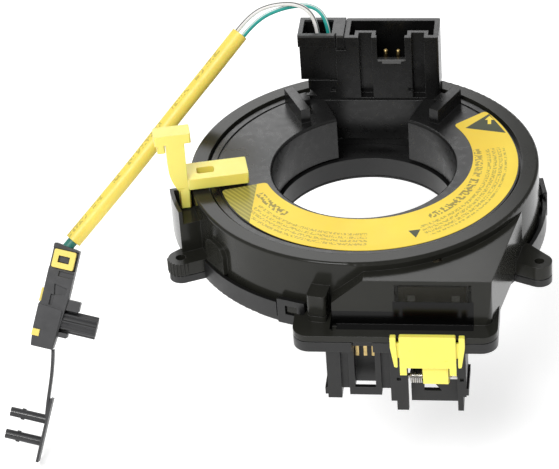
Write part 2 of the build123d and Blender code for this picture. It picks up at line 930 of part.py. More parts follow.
with BuildPart() as flat_cable:
    inner_roll = carrier_inner_radius + tape_roll
    outer_roll = carrier_outer_radius - tape_roll
    loop_centre = polar((inner_roll + outer_roll) / 2, 0)
    loop_radius = (outer_roll - inner_roll) / 2
    with BuildSketch(Plane.XY.offset(carrier_top)):
        Circle(inner_roll)
        Circle(carrier_inner_radius, mode=Mode.SUBTRACT)
    extrude(amount=tape_height)
    with BuildSketch(Plane.XY.offset(carrier_top)):
        Circle(carrier_outer_radius)
        Circle(outer_roll, mode=Mode.SUBTRACT)
    extrude(amount=tape_height)
    with BuildSketch(Plane.XY.offset(carrier_top)):
        sector(loop_radius, loop_radius + tape_thickness, 0, 180, loop_centre)
    extrude(amount=tape_height)
keep("flat_cable", flat_cable)

# Socket for the steering wheel's connector
with BuildPart() as socket_housing:
    socket_width = socket_right - socket_left
    socket_middle = ((socket_left + socket_right) / 2, (socket_front + socket_back) / 2)
    with BuildSketch(Plane.XY.offset(socket_step)):
        with Locations(socket_middle):
            RectangleRounded(socket_width, socket_back - socket_front, socket_round)
    extrude(amount=socket_top - socket_step)
    with BuildSketch(Plane.XY.offset(socket_step)):
        with Locations(((block_neck_left + socket_left + 1) / 2, (socket_front + block_neck_back) / 2)):
            Rectangle(socket_left + 1 - block_neck_left, block_neck_back - socket_front)
    extrude(amount=block_bottom - socket_step)
    neck_edge = edges().filter_by(Axis.Y).group_by(Axis.X)[0].sort_by(Axis.Z)[0]
    chamfer(neck_edge, block_neck_chamfer)
    with BuildSketch(Plane.XY.offset(rotor_face)):
        with Locations(((block_neck_left + socket_right) / 2, (socket_front + socket_back) / 2)):
            Rectangle(socket_right - block_neck_left, socket_back - socket_front)
        Circle(socket_foot_radius, mode=Mode.INTERSECT)
    extrude(amount=socket_step - rotor_face)
    with BuildSketch(Plane.XY.offset(socket_floor)):
        with Locations(socket_middle):
            Rectangle(socket_width - 2 * socket_wall, socket_back - socket_front - 2 * socket_wall)
        for centre in key_centres:
            with Locations((centre, socket_front)):
                Rectangle(
                    key_width + 2 * socket_front_wall,
                    2 * (key_depth + socket_front_wall),
                    mode=Mode.SUBTRACT,
                )
    extrude(amount=socket_top - socket_floor, mode=Mode.SUBTRACT)
    with BuildSketch(Plane.XY.offset(key_bottom)):
        for centre in key_centres:
            with Locations((centre, socket_front)):
                Rectangle(key_width, 2 * key_depth)
    extrude(amount=socket_top - key_bottom, mode=Mode.SUBTRACT)
    box_between(
        (gate_left, socket_front - 1, gate_bottom),
        (gate_right, socket_front + socket_wall + 0.1, socket_top + 1),
        mode=Mode.SUBTRACT,
    )
    for left_inset, right_inset, drop in sill_rows:
        box_between(
            (gate_left + left_inset, socket_front - sill_depth, gate_bottom - drop),
            (gate_right - right_inset, socket_front + sill_depth, gate_bottom),
        )
    box_between(
        (block_cheek_left, socket_front, socket_step),
        (socket_left + 1, block_back, block_cheek_top),
    )
    for hole_x in core_hole_xs:
        with BuildSketch(Plane.XZ.offset(-socket_front)):
            with Locations((hole_x, core_hole_z)):
                Rectangle(core_hole_size, core_hole_size)
        extrude(amount=-core_hole_depth, mode=Mode.SUBTRACT)
    with BuildSketch(Plane.XY.offset(socket_step)):
        with Locations(*[(pin_x, wheel_pin_y) for pin_x in wheel_pin_xs]):
            Circle(wheel_pin_radius)
    extrude(amount=socket_floor - socket_step, mode=Mode.SUBTRACT)
keep("socket_housing", socket_housing)

with BuildPart() as socket_pins:
    with BuildSketch(Plane.XY.offset(socket_step)):
        with Locations(*[(pin_x, wheel_pin_y) for pin_x in wheel_pin_xs]):
            Circle(wheel_pin_radius)
    extrude(amount=wheel_pin_top - socket_step)
    chamfer(faces().group_by(Axis.Z)[-1].edges(), wheel_pin_radius / 3)
keep("socket_pins", socket_pins)

# Wire block, plugged on beside the socket, open at its top for the two wires
with BuildPart() as wire_block:
    block_right = socket_left - block_gap
    block_middle = ((block_left + block_right) / 2, (block_front + block_back) / 2)
    block_size = (block_right - block_left, block_back - block_front)
    with BuildSketch(Plane.XY.offset(block_bottom)):
        with Locations(block_middle):
            Rectangle(block_size[0], block_size[1])
    extrude(amount=block_top - block_bottom)
    box_between(
        (block_left - 1, block_front - 1, block_bottom - 1),
        (block_left + block_cap_lip, block_back + 1, block_top - block_cap_height),
        mode=Mode.SUBTRACT,
    )
    box_between(
        (block_left - 1, block_front - 1, block_bottom - 1),
        (block_right + 1, block_front + block_cap_lip, block_top - block_cap_height),
        mode=Mode.SUBTRACT,
    )
    box_between(
        (block_cheek_left - block_gap, block_front - 1, block_bottom - 1),
        (block_right + 1, block_back + 1, block_cheek_top + block_gap),
        mode=Mode.SUBTRACT,
    )
    with BuildSketch(Plane.XY.offset(block_pocket_floor)):
        with Locations(((block_left + block_right - latch_width) / 2, block_middle[1])):
            Rectangle(
                block_size[0] - 2 * block_wall - latch_width, block_size[1] - 2 * block_wall
            )
    extrude(amount=block_top - block_pocket_floor, mode=Mode.SUBTRACT)
    box_between(
        (block_right - latch_width - latch_slot, block_front - 1, block_top - latch_height),
        (block_right - latch_width, block_front + block_wall, block_top + 1),
        mode=Mode.SUBTRACT,
    )
keep("wire_block", wire_block)

# Label on the rotor face
with BuildPart() as label:
    with BuildSketch(Plane.XY.offset(rotor_face)) as outline:
        sector(label_inner_radius, case_radius, label_start, label_end, (0, label_offset))
        Circle(label_outer_radius, mode=Mode.INTERSECT)
        fillet(outline.vertices(), label_corner)
    extrude(amount=label_thickness)
keep("label", label)

# Lock tab: radial bar over the rotor, stem with pull head, prong in the channel
bar_bottom = case_height + bar_lift
with BuildPart() as lock_tab:
    tab_block(bar_inner, bar_outer, bar_width, bar_bottom, bar_bottom + bar_thickness)
    tab_block(head_inner, head_outer, head_width, head_bottom, head_top)
    tab_block(
        stem_outer + lip_inner_setback, head_outer - lip_outer_inset, head_width, lip_bottom, head_bottom + 1
    )
    tab_block(prong_inner, prong_outer, prong_width, prong_bottom, bar_bottom + 1)
    stem_plane = Plane(
        origin=tab_plane(0).from_local_coords((0, bar_width / 2, 0)),
        x_dir=tab_plane(0).x_dir,
        z_dir=-tab_plane(0).y_dir,
    )
    with BuildSketch(stem_plane):
        with BuildLine():
            stem_side = Line((stem_outer, head_bottom + 1), (stem_outer, stem_bend_top))
            stem_bend = TangentArc(
                stem_side @ 1, (prong_outer, bar_bottom), tangent=stem_side % 1
            )
            Polyline(
                stem_bend @ 1,
                (stem_inner, bar_bottom),
                (stem_inner, head_bottom + 1),
                stem_side @ 0,
            )
        make_face()
    extrude(amount=stem_width)
    with BuildSketch(tab_plane(bar_bottom)):
        with Locations(((bar_slot_inner + bar_slot_outer) / 2, 0)):
            RectangleRounded(bar_slot_outer - bar_slot_inner, bar_slot_width, bar_slot_round)
    extrude(amount=bar_thickness, mode=Mode.SUBTRACT)
keep("lock_tab", lock_tab)

# Connector block: base, core inside the nose, signal socket, airbag socket
with BuildPart() as connector_block:
    shell_front = -base_front + panel_setback
    cavity_front = -base_front + socket_shell_wall
    with BuildSketch():
        with Locations(((core_left + core_right) / 2, -(core_front + base_back) / 2)):
            Rectangle(core_right - core_left, core_front - base_back)
        Circle(case_radius + core_gap, mode=Mode.SUBTRACT)
    extrude(amount=core_top)
    box_between((base_left, -base_front, -base_thickness), (base_right, -base_back, 0))
    box_between((base_left, -base_front, -leg_depth), (leg_right, -signal_back, 0))
    box_between(
        (base_left - leg_hook, -base_front, -leg_hook_bottom),
        (base_left, -signal_back, -leg_hook_top),
    )
    box_between((leg_right, shell_front, -panel_depth), (squib_left, -signal_back, 0))
    box_between((signal_left, -base_front, -signal_depth), (signal_right, -signal_back, 0))
    box_between(
        (signal_left + socket_shell_wall, cavity_front, -signal_depth),
        (signal_right - socket_shell_wall, -signal_back - socket_shell_wall, -base_thickness),
        mode=Mode.SUBTRACT,
    )
    box_between(
        (signal_window_left, -base_front, -signal_window_depth),
        (signal_window_left + signal_window_width, cavity_front, -base_thickness),
        mode=Mode.SUBTRACT,
    )
    box_between(
        (signal_window_left, -base_front, -base_thickness - 1),
        (signal_window_left + signal_window_width, -signal_pin_y + signal_pin_thickness / 2, -pin_roof),
        mode=Mode.SUBTRACT,
    )
    box_between((squib_left, -base_front, -squib_depth), (squib_left + squib_side_wall, -squib_base_back, 0))
    box_between(
        (squib_left, -base_front, -squib_depth),
        (squib_post_right, -base_front + squib_post_thickness, 0),
    )
    box_between((base_right - squib_side_wall, -base_front, -squib_depth), (base_right, -squib_base_back, 0))
    box_between(
        (squib_back_left, -squib_back_face, -squib_depth),
        (base_right, -squib_back_face + squib_back_wall, 0),
    )
    box_between(
        (squib_left, -squib_back_face, -base_thickness - pivot_bridge),
        (squib_back_left, -squib_back_face + squib_back_wall, 0),
    )
    box_between(
        (base_right, -base_front, -side_tab_bottom),
        (base_right + side_tab_depth, -squib_base_back, -side_tab_top),
    )
    with BuildSketch(Plane.XZ.offset(squib_back_face)):
        with BuildLine():
            Polyline(*squib_window, close=True)
        make_face()
    extrude(amount=-squib_back_wall, mode=Mode.SUBTRACT)
    box_between(
        (squib_left, -base_front, -squib_depth),
        (squib_left + post_step_width, -squib_base_back, -post_step_top),
        mode=Mode.SUBTRACT,
    )
    box_between(
        (base_right - wall_step_width, -base_front, -squib_depth),
        (base_right, -squib_base_back, -wall_step_top),
        mode=Mode.SUBTRACT,
    )
    with BuildSketch(Plane.XZ.offset(base_front)):
        with Locations((post_hole_x, -post_hole_depth), (base_right - squib_side_wall / 2, -post_hole_depth)):
            Rectangle(post_hole_size, post_hole_size)
    extrude(amount=-squib_post_thickness / 2, mode=Mode.SUBTRACT)
    with BuildSketch(Plane.YZ.offset(squib_left)):
        with Locations((-pivot_y, pivot_z)):
            Circle(pin_radius)
    extrude(amount=base_right - squib_left, mode=Mode.SUBTRACT)
    with BuildSketch(Plane.XY.offset(-base_thickness)):
        with Locations((squib_middle, -squib_pin_y)):
            with GridLocations(squib_pin_pitch, 1, 2, 1):
                Circle(squib_pin_radius)
        with Locations((signal_middle, -signal_pin_y)):
            with GridLocations(signal_pin_pitch, 1, signal_pin_count, 1):
                Rectangle(signal_pin_width, signal_pin_thickness)
    extrude(amount=base_thickness, mode=Mode.SUBTRACT)
keep("connector_block", connector_block)

with BuildPart() as signal_pins:
    with BuildSketch(Plane.XY.offset(-signal_pin_depth)):
        with Locations((signal_middle, -signal_pin_y)):
            with GridLocations(signal_pin_pitch, 1, signal_pin_count, 1):
                Rectangle(signal_pin_width, signal_pin_thickness)
    extrude(amount=signal_pin_depth)
keep("signal_pins", signal_pins)

with BuildPart() as squib_pins:
    with BuildSketch(Plane.XY.offset(-squib_pin_depth)):
        with Locations((squib_middle, -squib_pin_y)):
            with GridLocations(squib_pin_pitch, 1, 2, 1):
                Circle(squib_pin_radius)
    extrude(amount=squib_pin_depth)
keep("squib_pins", squib_pins)

with BuildPart() as terminal_carrier:
    with BuildSketch(Plane.XY.offset(core_top)):
        with Locations(((terminal_left + terminal_right) / 2, -(core_front + base_back) / 2)):
            Rectangle(terminal_right - terminal_left, core_front - base_back)
        Circle(case_radius + core_gap, mode=Mode.SUBTRACT)
    extrude(amount=terminal_top - core_top)
    with BuildSketch(Plane.XZ.offset(core_front)):
        with Locations(*[(light_x, light_z) for light_x in light_xs]):
            Rectangle(light_size, light_size)
    extrude(amount=-light_depth, mode=Mode.SUBTRACT)
keep("terminal_carrier", terminal_carrier)

# Lever with its pin and torsion spring
with BuildPart() as lever_pin:
    with BuildSketch(Plane.YZ.offset(squib_left)):
        with Locations((-pivot_y, pivot_z)):
            Circle(pin_radius)
    extrude(amount=base_right - squib_left)
keep("lever_pin", lever_pin)

with BuildPart() as lock_lever:
    lever_back = flange_front + flange_gap
    lever_eye_middle = (lever_eye_radius + pin_radius + pin_clearance) / 2
    with BuildSketch(Plane.XZ.offset(lever_back)):
        with Locations(((lever_left + lever_right) / 2, (lever_top + lever_bottom) / 2)):
            RectangleRounded(lever_right - lever_left, lever_top - lever_bottom, lever_round)
        for arm_left in (lever_left, lever_right - lever_arm_width):
            with Locations((arm_left + lever_arm_width / 2, (lever_bottom + lever_arm_bottom) / 2)):
                Rectangle(lever_arm_width, lever_bottom - lever_arm_bottom + 2 * lever_round)
    extrude(amount=lever_thickness)
    for side in (-1, 1):
        with BuildSketch(Plane.XZ.offset(lever_back)) as ear:
            with BuildLine():
                Polyline(*[(lever_middle + side * out, height) for out, height in lever_ear], close=True)
            make_face()
            fillet(ear.vertices(), lever_ear_round)
        extrude(amount=lever_thickness)
    with BuildSketch(Plane.XZ.offset(lever_back)):
        with Locations((lever_middle, (lever_bridge_top + lever_bridge_bottom) / 2)):
            Rectangle(2 * lever_bridge_half, lever_bridge_top - lever_bridge_bottom)
    extrude(amount=lever_bridge_thickness)
    with BuildSketch(Plane.YZ.offset(lever_block_left)):
        with BuildLine():
            Polyline(
                (-lever_back, lever_block_top),
                (-base_front - flange_gap, -base_thickness - flange_gap - 1.5),
                (-pivot_y, pivot_z + lever_eye_middle),
                (-pivot_y, pivot_z - lever_eye_middle),
                (-lever_back + 1.5, pivot_z + 1.2),
                (-lever_back, lever_bottom - 2),
                close=True,
            )
        make_face()
        with Locations((-pivot_y, pivot_z)):
            Circle(lever_eye_radius)
            Circle(pin_radius + pin_clearance, mode=Mode.SUBTRACT)
    extrude(amount=lever_block_right - lever_block_left)
keep("lock_lever", lock_lever)

with BuildPart() as lever_spring:
    coil_plane = Plane(origin=(spring_left, -pivot_y, pivot_z), x_dir=(0, 1, 0), z_dir=(1, 0, 0))
    with BuildLine() as coil:
        Helix(spring_length / spring_turns, spring_length, spring_radius,
              center=(spring_left, -pivot_y, pivot_z), direction=(1, 0, 0))
    with BuildSketch(Plane(origin=coil.line @ 0, z_dir=coil.line % 0)):
        RegularPolygon(spring_wire / 2, 6)
    sweep(path=coil.wires()[0], is_frenet=True)
keep("lever_spring", lever_spring)

# Lead: two wires, their sheath
wire_white = cord(lead_route(white_points, 1), wire_diameter)
keep("wire_white", wire_white)
wire_green = cord(lead_route(green_points, -1), wire_diameter)
keep("wire_green", wire_green)
sheath = cord(sheath_points, sheath_diameter)
keep("sheath", sheath)

# Airbag plug on the end of the lead
plug_plane = Plane(origin=plug_origin, x_dir=plug_axis, z_dir=plug_normal)


def plug_at(depth):
    """Plane parallel to the plug's front at a depth towards the viewer."""
    return plug_plane.offset(depth)


def insert_window(grow):
    """Sketch the window in the plug's front where the insert shows."""
    outer = -plug_half_width - 0.6
    with BuildSketch(plug_at(0)) as window:
        with Locations(((insert_window_start + insert_window_end) / 2, (outer + insert_window_inner) / 2)):
            Rectangle(
                insert_window_end - insert_window_start + 2 * grow,
                insert_window_inner - outer + 2 * grow,
            )
    return window.sketch


with BuildPart() as plug_body:
    with BuildSketch(plug_at(-plug_half_depth)) as outline:
        with BuildLine():
            Polyline(
                (0.6, -plug_half_width),
                (1.8, plug_half_width),
                (arm_start, plug_half_width),
                (plug_length, plug_half_width - 1.4),
                (plug_length, -plug_half_width),
                (plug_shoulder + 8, -plug_half_width - 0.6),
                (plug_shoulder, -plug_half_width - 0.6),
                (plug_shoulder - 1, -plug_half_width),
                close=True,
            )
        make_face()
        fillet(outline.vertices(), plug_round)
    extrude(amount=2 * plug_half_depth)
    with BuildSketch(plug_at(plug_half_depth)) as face:
        with BuildLine():
            Polyline(
                (plug_length, plug_half_width - 1.4),
                (plug_length, -plug_half_width),
                (plug_shoulder + 8, -plug_half_width - 0.6),
                (plug_shoulder, -plug_half_width - 0.6),
                (plug_shoulder + 0.8, plug_half_width - 1),
                close=True,
            )
        make_face()
        fillet(face.vertices(), plug_round)
    extrude(amount=plug_face_rise)
    with BuildSketch(plug_at(-arm_half_depth)):
        with Locations(((arm_start + arm_end) / 2, arm_web_reach / 2)):
            Rectangle(arm_end - arm_start, arm_web_reach)
    extrude(amount=arm_half_depth)
    for cheek_start, cheek_end, cheek_reach in arm_cheeks:
        with BuildSketch(plug_at(-arm_half_depth)):
            with Locations(((cheek_start + cheek_end) / 2, cheek_reach / 2)):
                RectangleRounded(cheek_end - cheek_start, cheek_reach, plug_round)
        extrude(amount=2 * arm_half_depth)
    nose_plane = Plane(
        origin=plug_plane.from_local_coords((arm_nose_centre, 0, 0)),
        x_dir=plug_plane.x_dir,
        z_dir=plug_plane.y_dir,
    )
    with BuildSketch(nose_plane.offset(plug_half_width - 1)):
        Circle(arm_nose_radius)
        with PolarLocations(arm_nose_radius, arm_rib_count):
            Circle(arm_rib_radius)
    extrude(amount=arm_nose_reach - plug_half_width + 1)
    with BuildSketch(plug_at(plug_half_depth - plug_recess_depth)):
        with BuildLine():
            Polyline(*plug_wedge, close=True)
        make_face()
        for low, high in (plug_slot, plug_groove):
            with Locations(((low[0] + high[0]) / 2, (low[1] + high[1]) / 2)):
                Rectangle(high[0] - low[0], high[1] - low[1])
    extrude(amount=plug_recess_depth, mode=Mode.SUBTRACT)
    with BuildSketch(plug_at(plug_half_depth - clip_depth)):
        with Locations(((clip_start + clip_end) / 2, 0)):
            Rectangle(clip_end - clip_start + 2 * clip_gap, 3 * plug_half_width)
    extrude(amount=clip_depth, mode=Mode.SUBTRACT)
    with BuildSketch(plug_at(plug_half_depth - clip_depth)):
        with Locations(((clip_window_start + clip_window_end) / 2, 0)):
            Rectangle(
                clip_window_end - clip_window_start - 2 * clip_gap,
                2 * clip_window_half - 2 * clip_gap,
            )
    extrude(amount=clip_depth)
    with BuildSketch(plug_at(-insert_half_depth)):
        with Locations(((insert_start + insert_end) / 2, -plug_half_width)):
            Rectangle(insert_end - insert_start, 2 * insert_depth)
    extrude(amount=2 * insert_half_depth, mode=Mode.SUBTRACT)
    extrude(insert_window(insert_gap), amount=plug_half_depth + plug_face_rise, mode=Mode.SUBTRACT)
    sheath_end = Vector(sheath_points[-1])
    sheath_way = (sheath_end - Vector(sheath_points[-2])).normalized()
    with BuildSketch(Plane(origin=sheath_end, z_dir=sheath_way)):
        Circle(neck_radius)
    extrude(amount=neck_length)
keep("plug_body", plug_body)

with BuildPart() as plug_insert:
    with BuildSketch(plug_at(-insert_half_depth)):
        with Locations(((insert_start + insert_end) / 2, -plug_half_width + insert_depth / 2 + 0.4)):
            Rectangle(insert_end - insert_start, insert_depth - 0.8)
        with Locations((
            (insert_bit_start + insert_bit_end) / 2,
            -plug_half_width + (insert_depth - insert_bit_reach) / 2,
        )):
            Rectangle(insert_bit_end - insert_bit_start, insert_depth + insert_bit_reach)
    extrude(amount=2 * insert_half_depth)
    extrude(insert_window(0), amount=plug_half_depth + plug_face_rise)
keep("plug_insert", plug_insert)

with BuildPart() as plug_clip:
    with BuildSketch(plug_at(plug_half_depth - clip_depth + clip_gap)):
        with Locations(((clip_start + clip_end) / 2, 0)):
            RectangleRounded(clip_end - clip_start, 2 * clip_half_width, plug_round)
        with Locations(((clip_window_start + clip_window_end) / 2, 0)):
            Rectangle(
                clip_window_end - clip_window_start, 2 * clip_window_half, mode=Mode.SUBTRACT
            )
    extrude(amount=clip_depth - clip_gap + clip_rise)
keep("plug_clip", plug_clip)

with BuildPart() as tether_clip:
    with BuildSketch(plug_at(-strap_width / 2)):
        with BuildLine() as strap_line:
            Spline(*strap_points)
        trace(strap_line.line, strap_thickness)
    extrude(amount=strap_width)
    with BuildSketch(plug_at(-tether_plate_width / 2)):
        with Locations(((tether_plate_start + tether_plate_end) / 2, tether_plate_across)):
            Rectangle(tether_plate_end - tether_plate_start, tether_plate_thickness)
    extrude(amount=tether_plate_width)
    for pin_start in tether_pin_starts:
        pin_plane = Plane(
            origin=plug_plane.from_local_coords((pin_start, tether_plate_across, 0)),
            x_dir=plug_plane.x_dir,
            z_dir=-plug_plane.y_dir,
        )
        with BuildSketch(pin_plane):
            Circle(tether_pin_radius)
            Rectangle(tether_pin_slot, 2 * tether_pin_radius, mode=Mode.SUBTRACT)
        extrude(amount=tether_pin_reach)
        with BuildSketch(pin_plane.offset(tether_pin_reach * 0.6)):
            for barb_side in (-1, 1):
                with Locations((barb_side * tether_pin_radius, 0)):
                    Rectangle(tether_barb, tether_barb * 2)
        extrude(amount=tether_barb * 2)
keep("tether_clip", tether_clip)

for name, shape in sub_parts.items():
    export_step(shape, f"parts/{name}.step")
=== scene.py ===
import math

import bmesh
import bpy
from mathutils import Matrix, Vector


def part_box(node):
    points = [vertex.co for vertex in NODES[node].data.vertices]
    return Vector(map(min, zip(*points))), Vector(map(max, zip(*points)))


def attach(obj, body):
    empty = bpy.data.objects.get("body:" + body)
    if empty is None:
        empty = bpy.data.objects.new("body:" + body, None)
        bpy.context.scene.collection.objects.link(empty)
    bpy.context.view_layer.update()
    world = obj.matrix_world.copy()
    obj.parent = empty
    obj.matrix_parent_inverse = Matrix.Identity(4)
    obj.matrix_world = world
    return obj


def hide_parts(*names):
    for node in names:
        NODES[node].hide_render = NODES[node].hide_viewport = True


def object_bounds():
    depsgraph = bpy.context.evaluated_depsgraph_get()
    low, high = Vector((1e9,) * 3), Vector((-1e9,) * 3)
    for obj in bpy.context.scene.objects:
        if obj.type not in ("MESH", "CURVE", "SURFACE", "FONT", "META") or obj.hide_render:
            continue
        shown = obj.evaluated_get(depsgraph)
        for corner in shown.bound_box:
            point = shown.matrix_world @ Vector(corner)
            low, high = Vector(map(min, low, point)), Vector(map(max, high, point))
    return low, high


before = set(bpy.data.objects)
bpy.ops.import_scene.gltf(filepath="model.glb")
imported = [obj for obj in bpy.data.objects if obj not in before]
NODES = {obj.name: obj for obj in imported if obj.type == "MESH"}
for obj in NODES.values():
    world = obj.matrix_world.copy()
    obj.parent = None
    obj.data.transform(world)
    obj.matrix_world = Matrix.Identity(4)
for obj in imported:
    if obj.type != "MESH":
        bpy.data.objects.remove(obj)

# Steering clock spring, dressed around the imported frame. Blender's lengths are in metres.
# Boxes, outlines, places and routes are written in millimetres, and so are single lengths
# that are multiplied by MM. Noise scales count marks per metre.

MM = 0.001
CAD_BOX = [list(corner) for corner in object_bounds()]

# Camera of the photograph: its right, up and back directions, its shift, distance and lens
CAMERA_RIGHT = Vector((0.9927, 0.1037, -0.0616))
CAMERA_UP = Vector((-0.0086, 0.5700, 0.8216))
CAMERA_BACK = Vector((0.1204, -0.8151, 0.5667))
CAMERA_SHIFT_RIGHT = -26.08 * MM
CAMERA_SHIFT_UP = -22.16 * MM
CAMERA_DISTANCE = 830.07 * MM
CAMERA_AIM_HEIGHT = 23.0 * MM
SENSOR_WIDTH = 36.0
LENS = 172.77
CLIP_START = 0.05
CLIP_END = 20.0


def new_object(name, data):
    """Object for a mesh, a curve, a camera or a light, linked to the scene."""
    made = bpy.data.objects.new(name, data)
    bpy.context.scene.collection.objects.link(made)
    return made


camera_data = bpy.data.cameras.new("photo_camera")
camera_data.sensor_width = SENSOR_WIDTH
camera_data.lens = LENS
camera_data.clip_start = CLIP_START
camera_data.clip_end = CLIP_END
camera = new_object("photo_camera", camera_data)
camera_place = (
    Vector((0, 0, CAMERA_AIM_HEIGHT))
    + CAMERA_RIGHT * CAMERA_SHIFT_RIGHT
    + CAMERA_UP * CAMERA_SHIFT_UP
    + CAMERA_BACK * CAMERA_DISTANCE
)
camera_axes = Matrix((CAMERA_RIGHT, CAMERA_UP, CAMERA_BACK)).transposed()
camera.matrix_world = Matrix.Translation(camera_place) @ camera_axes.to_4x4()
bpy.context.scene.camera = camera


# Materials

class Nodes:
    """Short calls for building the nodes of one material."""

    def __init__(self, material):
        self.material = material
        self.material.use_nodes = True
        self.tree = self.material.node_tree
        self.shader = self.tree.nodes["Principled BSDF"]

    def add(self, kind, inputs=None, **settings):
        node = self.tree.nodes.new(kind)
        for key, value in settings.items():
            setattr(node, key, value)
        for key, value in (inputs or {}).items():
            self.put(node.inputs[key], value)
        return node

    def put(self, socket, value):
        """Link a socket to another, or set it to a value."""
        if isinstance(value, bpy.types.NodeSocket):
            self.tree.links.new(value, socket)
        else:
            socket.default_value = value

    def maths(self, operation, first, second=0.5, clamp=False):
        node = self.add("ShaderNodeMath", operation=operation, use_clamp=clamp)
        self.put(node.inputs[0], first)
        self.put(node.inputs[1], second)
        return node.outputs[0]

    def place(self):
        return self.add("ShaderNodeTexCoord").outputs["Object"]

    def tube_place(self):
        """How far a point of a tube is along it and around it, each from 0 to 1."""
        where = self.add("ShaderNodeTexCoord").outputs["UV"]
        along, around, _ = self.add("ShaderNodeSeparateXYZ", {"Vector": where}).outputs
        return along, around

    def noise(self, scale, detail=3.0, roughness=0.55):
        node = self.add(
            "ShaderNodeTexNoise",
            {"Vector": self.place(), "Scale": scale, "Detail": detail, "Roughness": roughness},
        )
        return node.outputs["Fac"]

    def flat_noise(self, x, y):
        """Noise over two values, with marks about one unit of them in size."""
        place = self.add("ShaderNodeCombineXYZ", {"X": x, "Y": y}).outputs["Vector"]
        node = self.add(
            "ShaderNodeTexNoise", {"Vector": place, "Scale": 1.0, "Detail": 0.0}, noise_dimensions="2D"
        )
        return node.outputs["Fac"]

    def axes(self):
        """Object coordinates in millimetres, one socket for each axis."""
        parts = self.add("ShaderNodeSeparateXYZ", {"Vector": self.place()}).outputs
        return [self.maths("MULTIPLY", part, 1.0 / MM) for part in parts]

    def within(self, value, low, high):
        """1 where a value lies between two limits, and 0 elsewhere."""
        above = self.maths("GREATER_THAN", value, low)
        return self.maths("MULTIPLY", above, self.maths("LESS_THAN", value, high))

    def zone(self, limits):
        """1 inside a box, with a pair of limits or None for each axis."""
        whole = 1.0
        for axis, pair in zip(self.axes(), limits):
            if pair:
                whole = self.maths("MULTIPLY", self.within(axis, *pair), whole)
        return whole

    def near(self, centre, radius):
        """1 within a distance of a place."""
        apart = self.add("ShaderNodeVectorMath", operation="DISTANCE")
        self.put(apart.inputs[0], self.place())
        self.put(apart.inputs[1], tuple(value * MM for value in centre))
        return self.maths("LESS_THAN", apart.outputs["Value"], radius * MM)

    def corners(self, places):
        """1 inside a convex outline in the x y plane, its corners anticlockwise."""
        x, y, _ = self.axes()
        whole = 1.0
        for (x_from, y_from), (x_to, y_to) in zip(places, places[1:] + places[:1]):
            across = self.maths("MULTIPLY", self.maths("SUBTRACT", y, y_from), x_to - x_from)
            along = self.maths("MULTIPLY", self.maths("SUBTRACT", x, x_from), y_to - y_from)
            side = self.maths("GREATER_THAN", self.maths("SUBTRACT", across, along), 0.0)
            whole = self.maths("MULTIPLY", side, whole)
        return whole

    def ramp(self, value, low, high, start=0.0, end=1.0):
        """A value moved from the range start to end to the range low to high."""
        node = self.add(
            "ShaderNodeMapRange",
            {"Value": value, "From Min": start, "From Max": end, "To Min": low, "To Max": high},
        )
        return node.outputs["Result"]

    def mix(self, amount, first, second):
        """One colour turned into another by an amount from 0 to 1."""
        node = self.add("ShaderNodeMix", data_type="RGBA")
        self.put(node.inputs[0], amount)
        self.put(node.inputs[6], first)
        self.put(node.inputs[7], second)
        return node.outputs[2]

    def edge(self):
        """How near a point is to a sharp edge, from 0 to 1, and the rounded normal there."""
        bevel = self.add("ShaderNodeBevel", {"Radius": EDGE_RADIUS}, samples=EDGE_SAMPLES)
        soft = bevel.outputs["Normal"]
        hard = self.add("ShaderNodeNewGeometry").outputs["Normal"]
        dot = self.add("ShaderNodeVectorMath", operation="DOT_PRODUCT")
        self.put(dot.inputs[0], soft)
        self.put(dot.inputs[1], hard)
        turned = self.maths("SUBTRACT", 1.0, dot.outputs["Value"], clamp=True)
        return self.ramp(turned, 0.0, 1.0, *EDGE_BAND), soft

    def bump(self, strength, depth, height, **inputs):
        """Give the shader a surface raised by a height."""
        inputs.update({"Strength": strength, "Distance": depth, "Height": height})
        node = self.add("ShaderNodeBump", inputs)
        self.put(self.shader.inputs["Normal"], node.outputs["Normal"])


# Parts of a noise's or an edge's range that a ramp is spread over
MIDDLE_BAND = (0.3, 0.7)
FLOW_BAND = (0.32, 0.68)
SCUFF_BAND = (0.4, 0.65)
TARNISH_BAND = (0.4, 0.7)
EDGE_BAND = (0.02, 0.22)

EDGE_RADIUS = 0.25 * MM
EDGE_SAMPLES = 4
FLOW_SCALE = 55.0
FLOW_LIGHT_SHARE = 0.008
FINE_SCALE = 420.0
SCUFF_SHARES = (0.35, 1.0)
SCUFF_ROUGHNESS = 0.08
GRAIN_SCALE = 2600.0
GRAIN_DEPTH = 0.08 * MM


def rgba(colour):
    return (*colour, 1.0)


def lighter(colour, share):
    """A colour moved towards white by a share."""
    return tuple(c + (1.0 - c) * share for c in colour)


def darker(colour, share):
    """A colour moved towards black by a share."""
    return tuple(c * (1.0 - share) for c in colour)


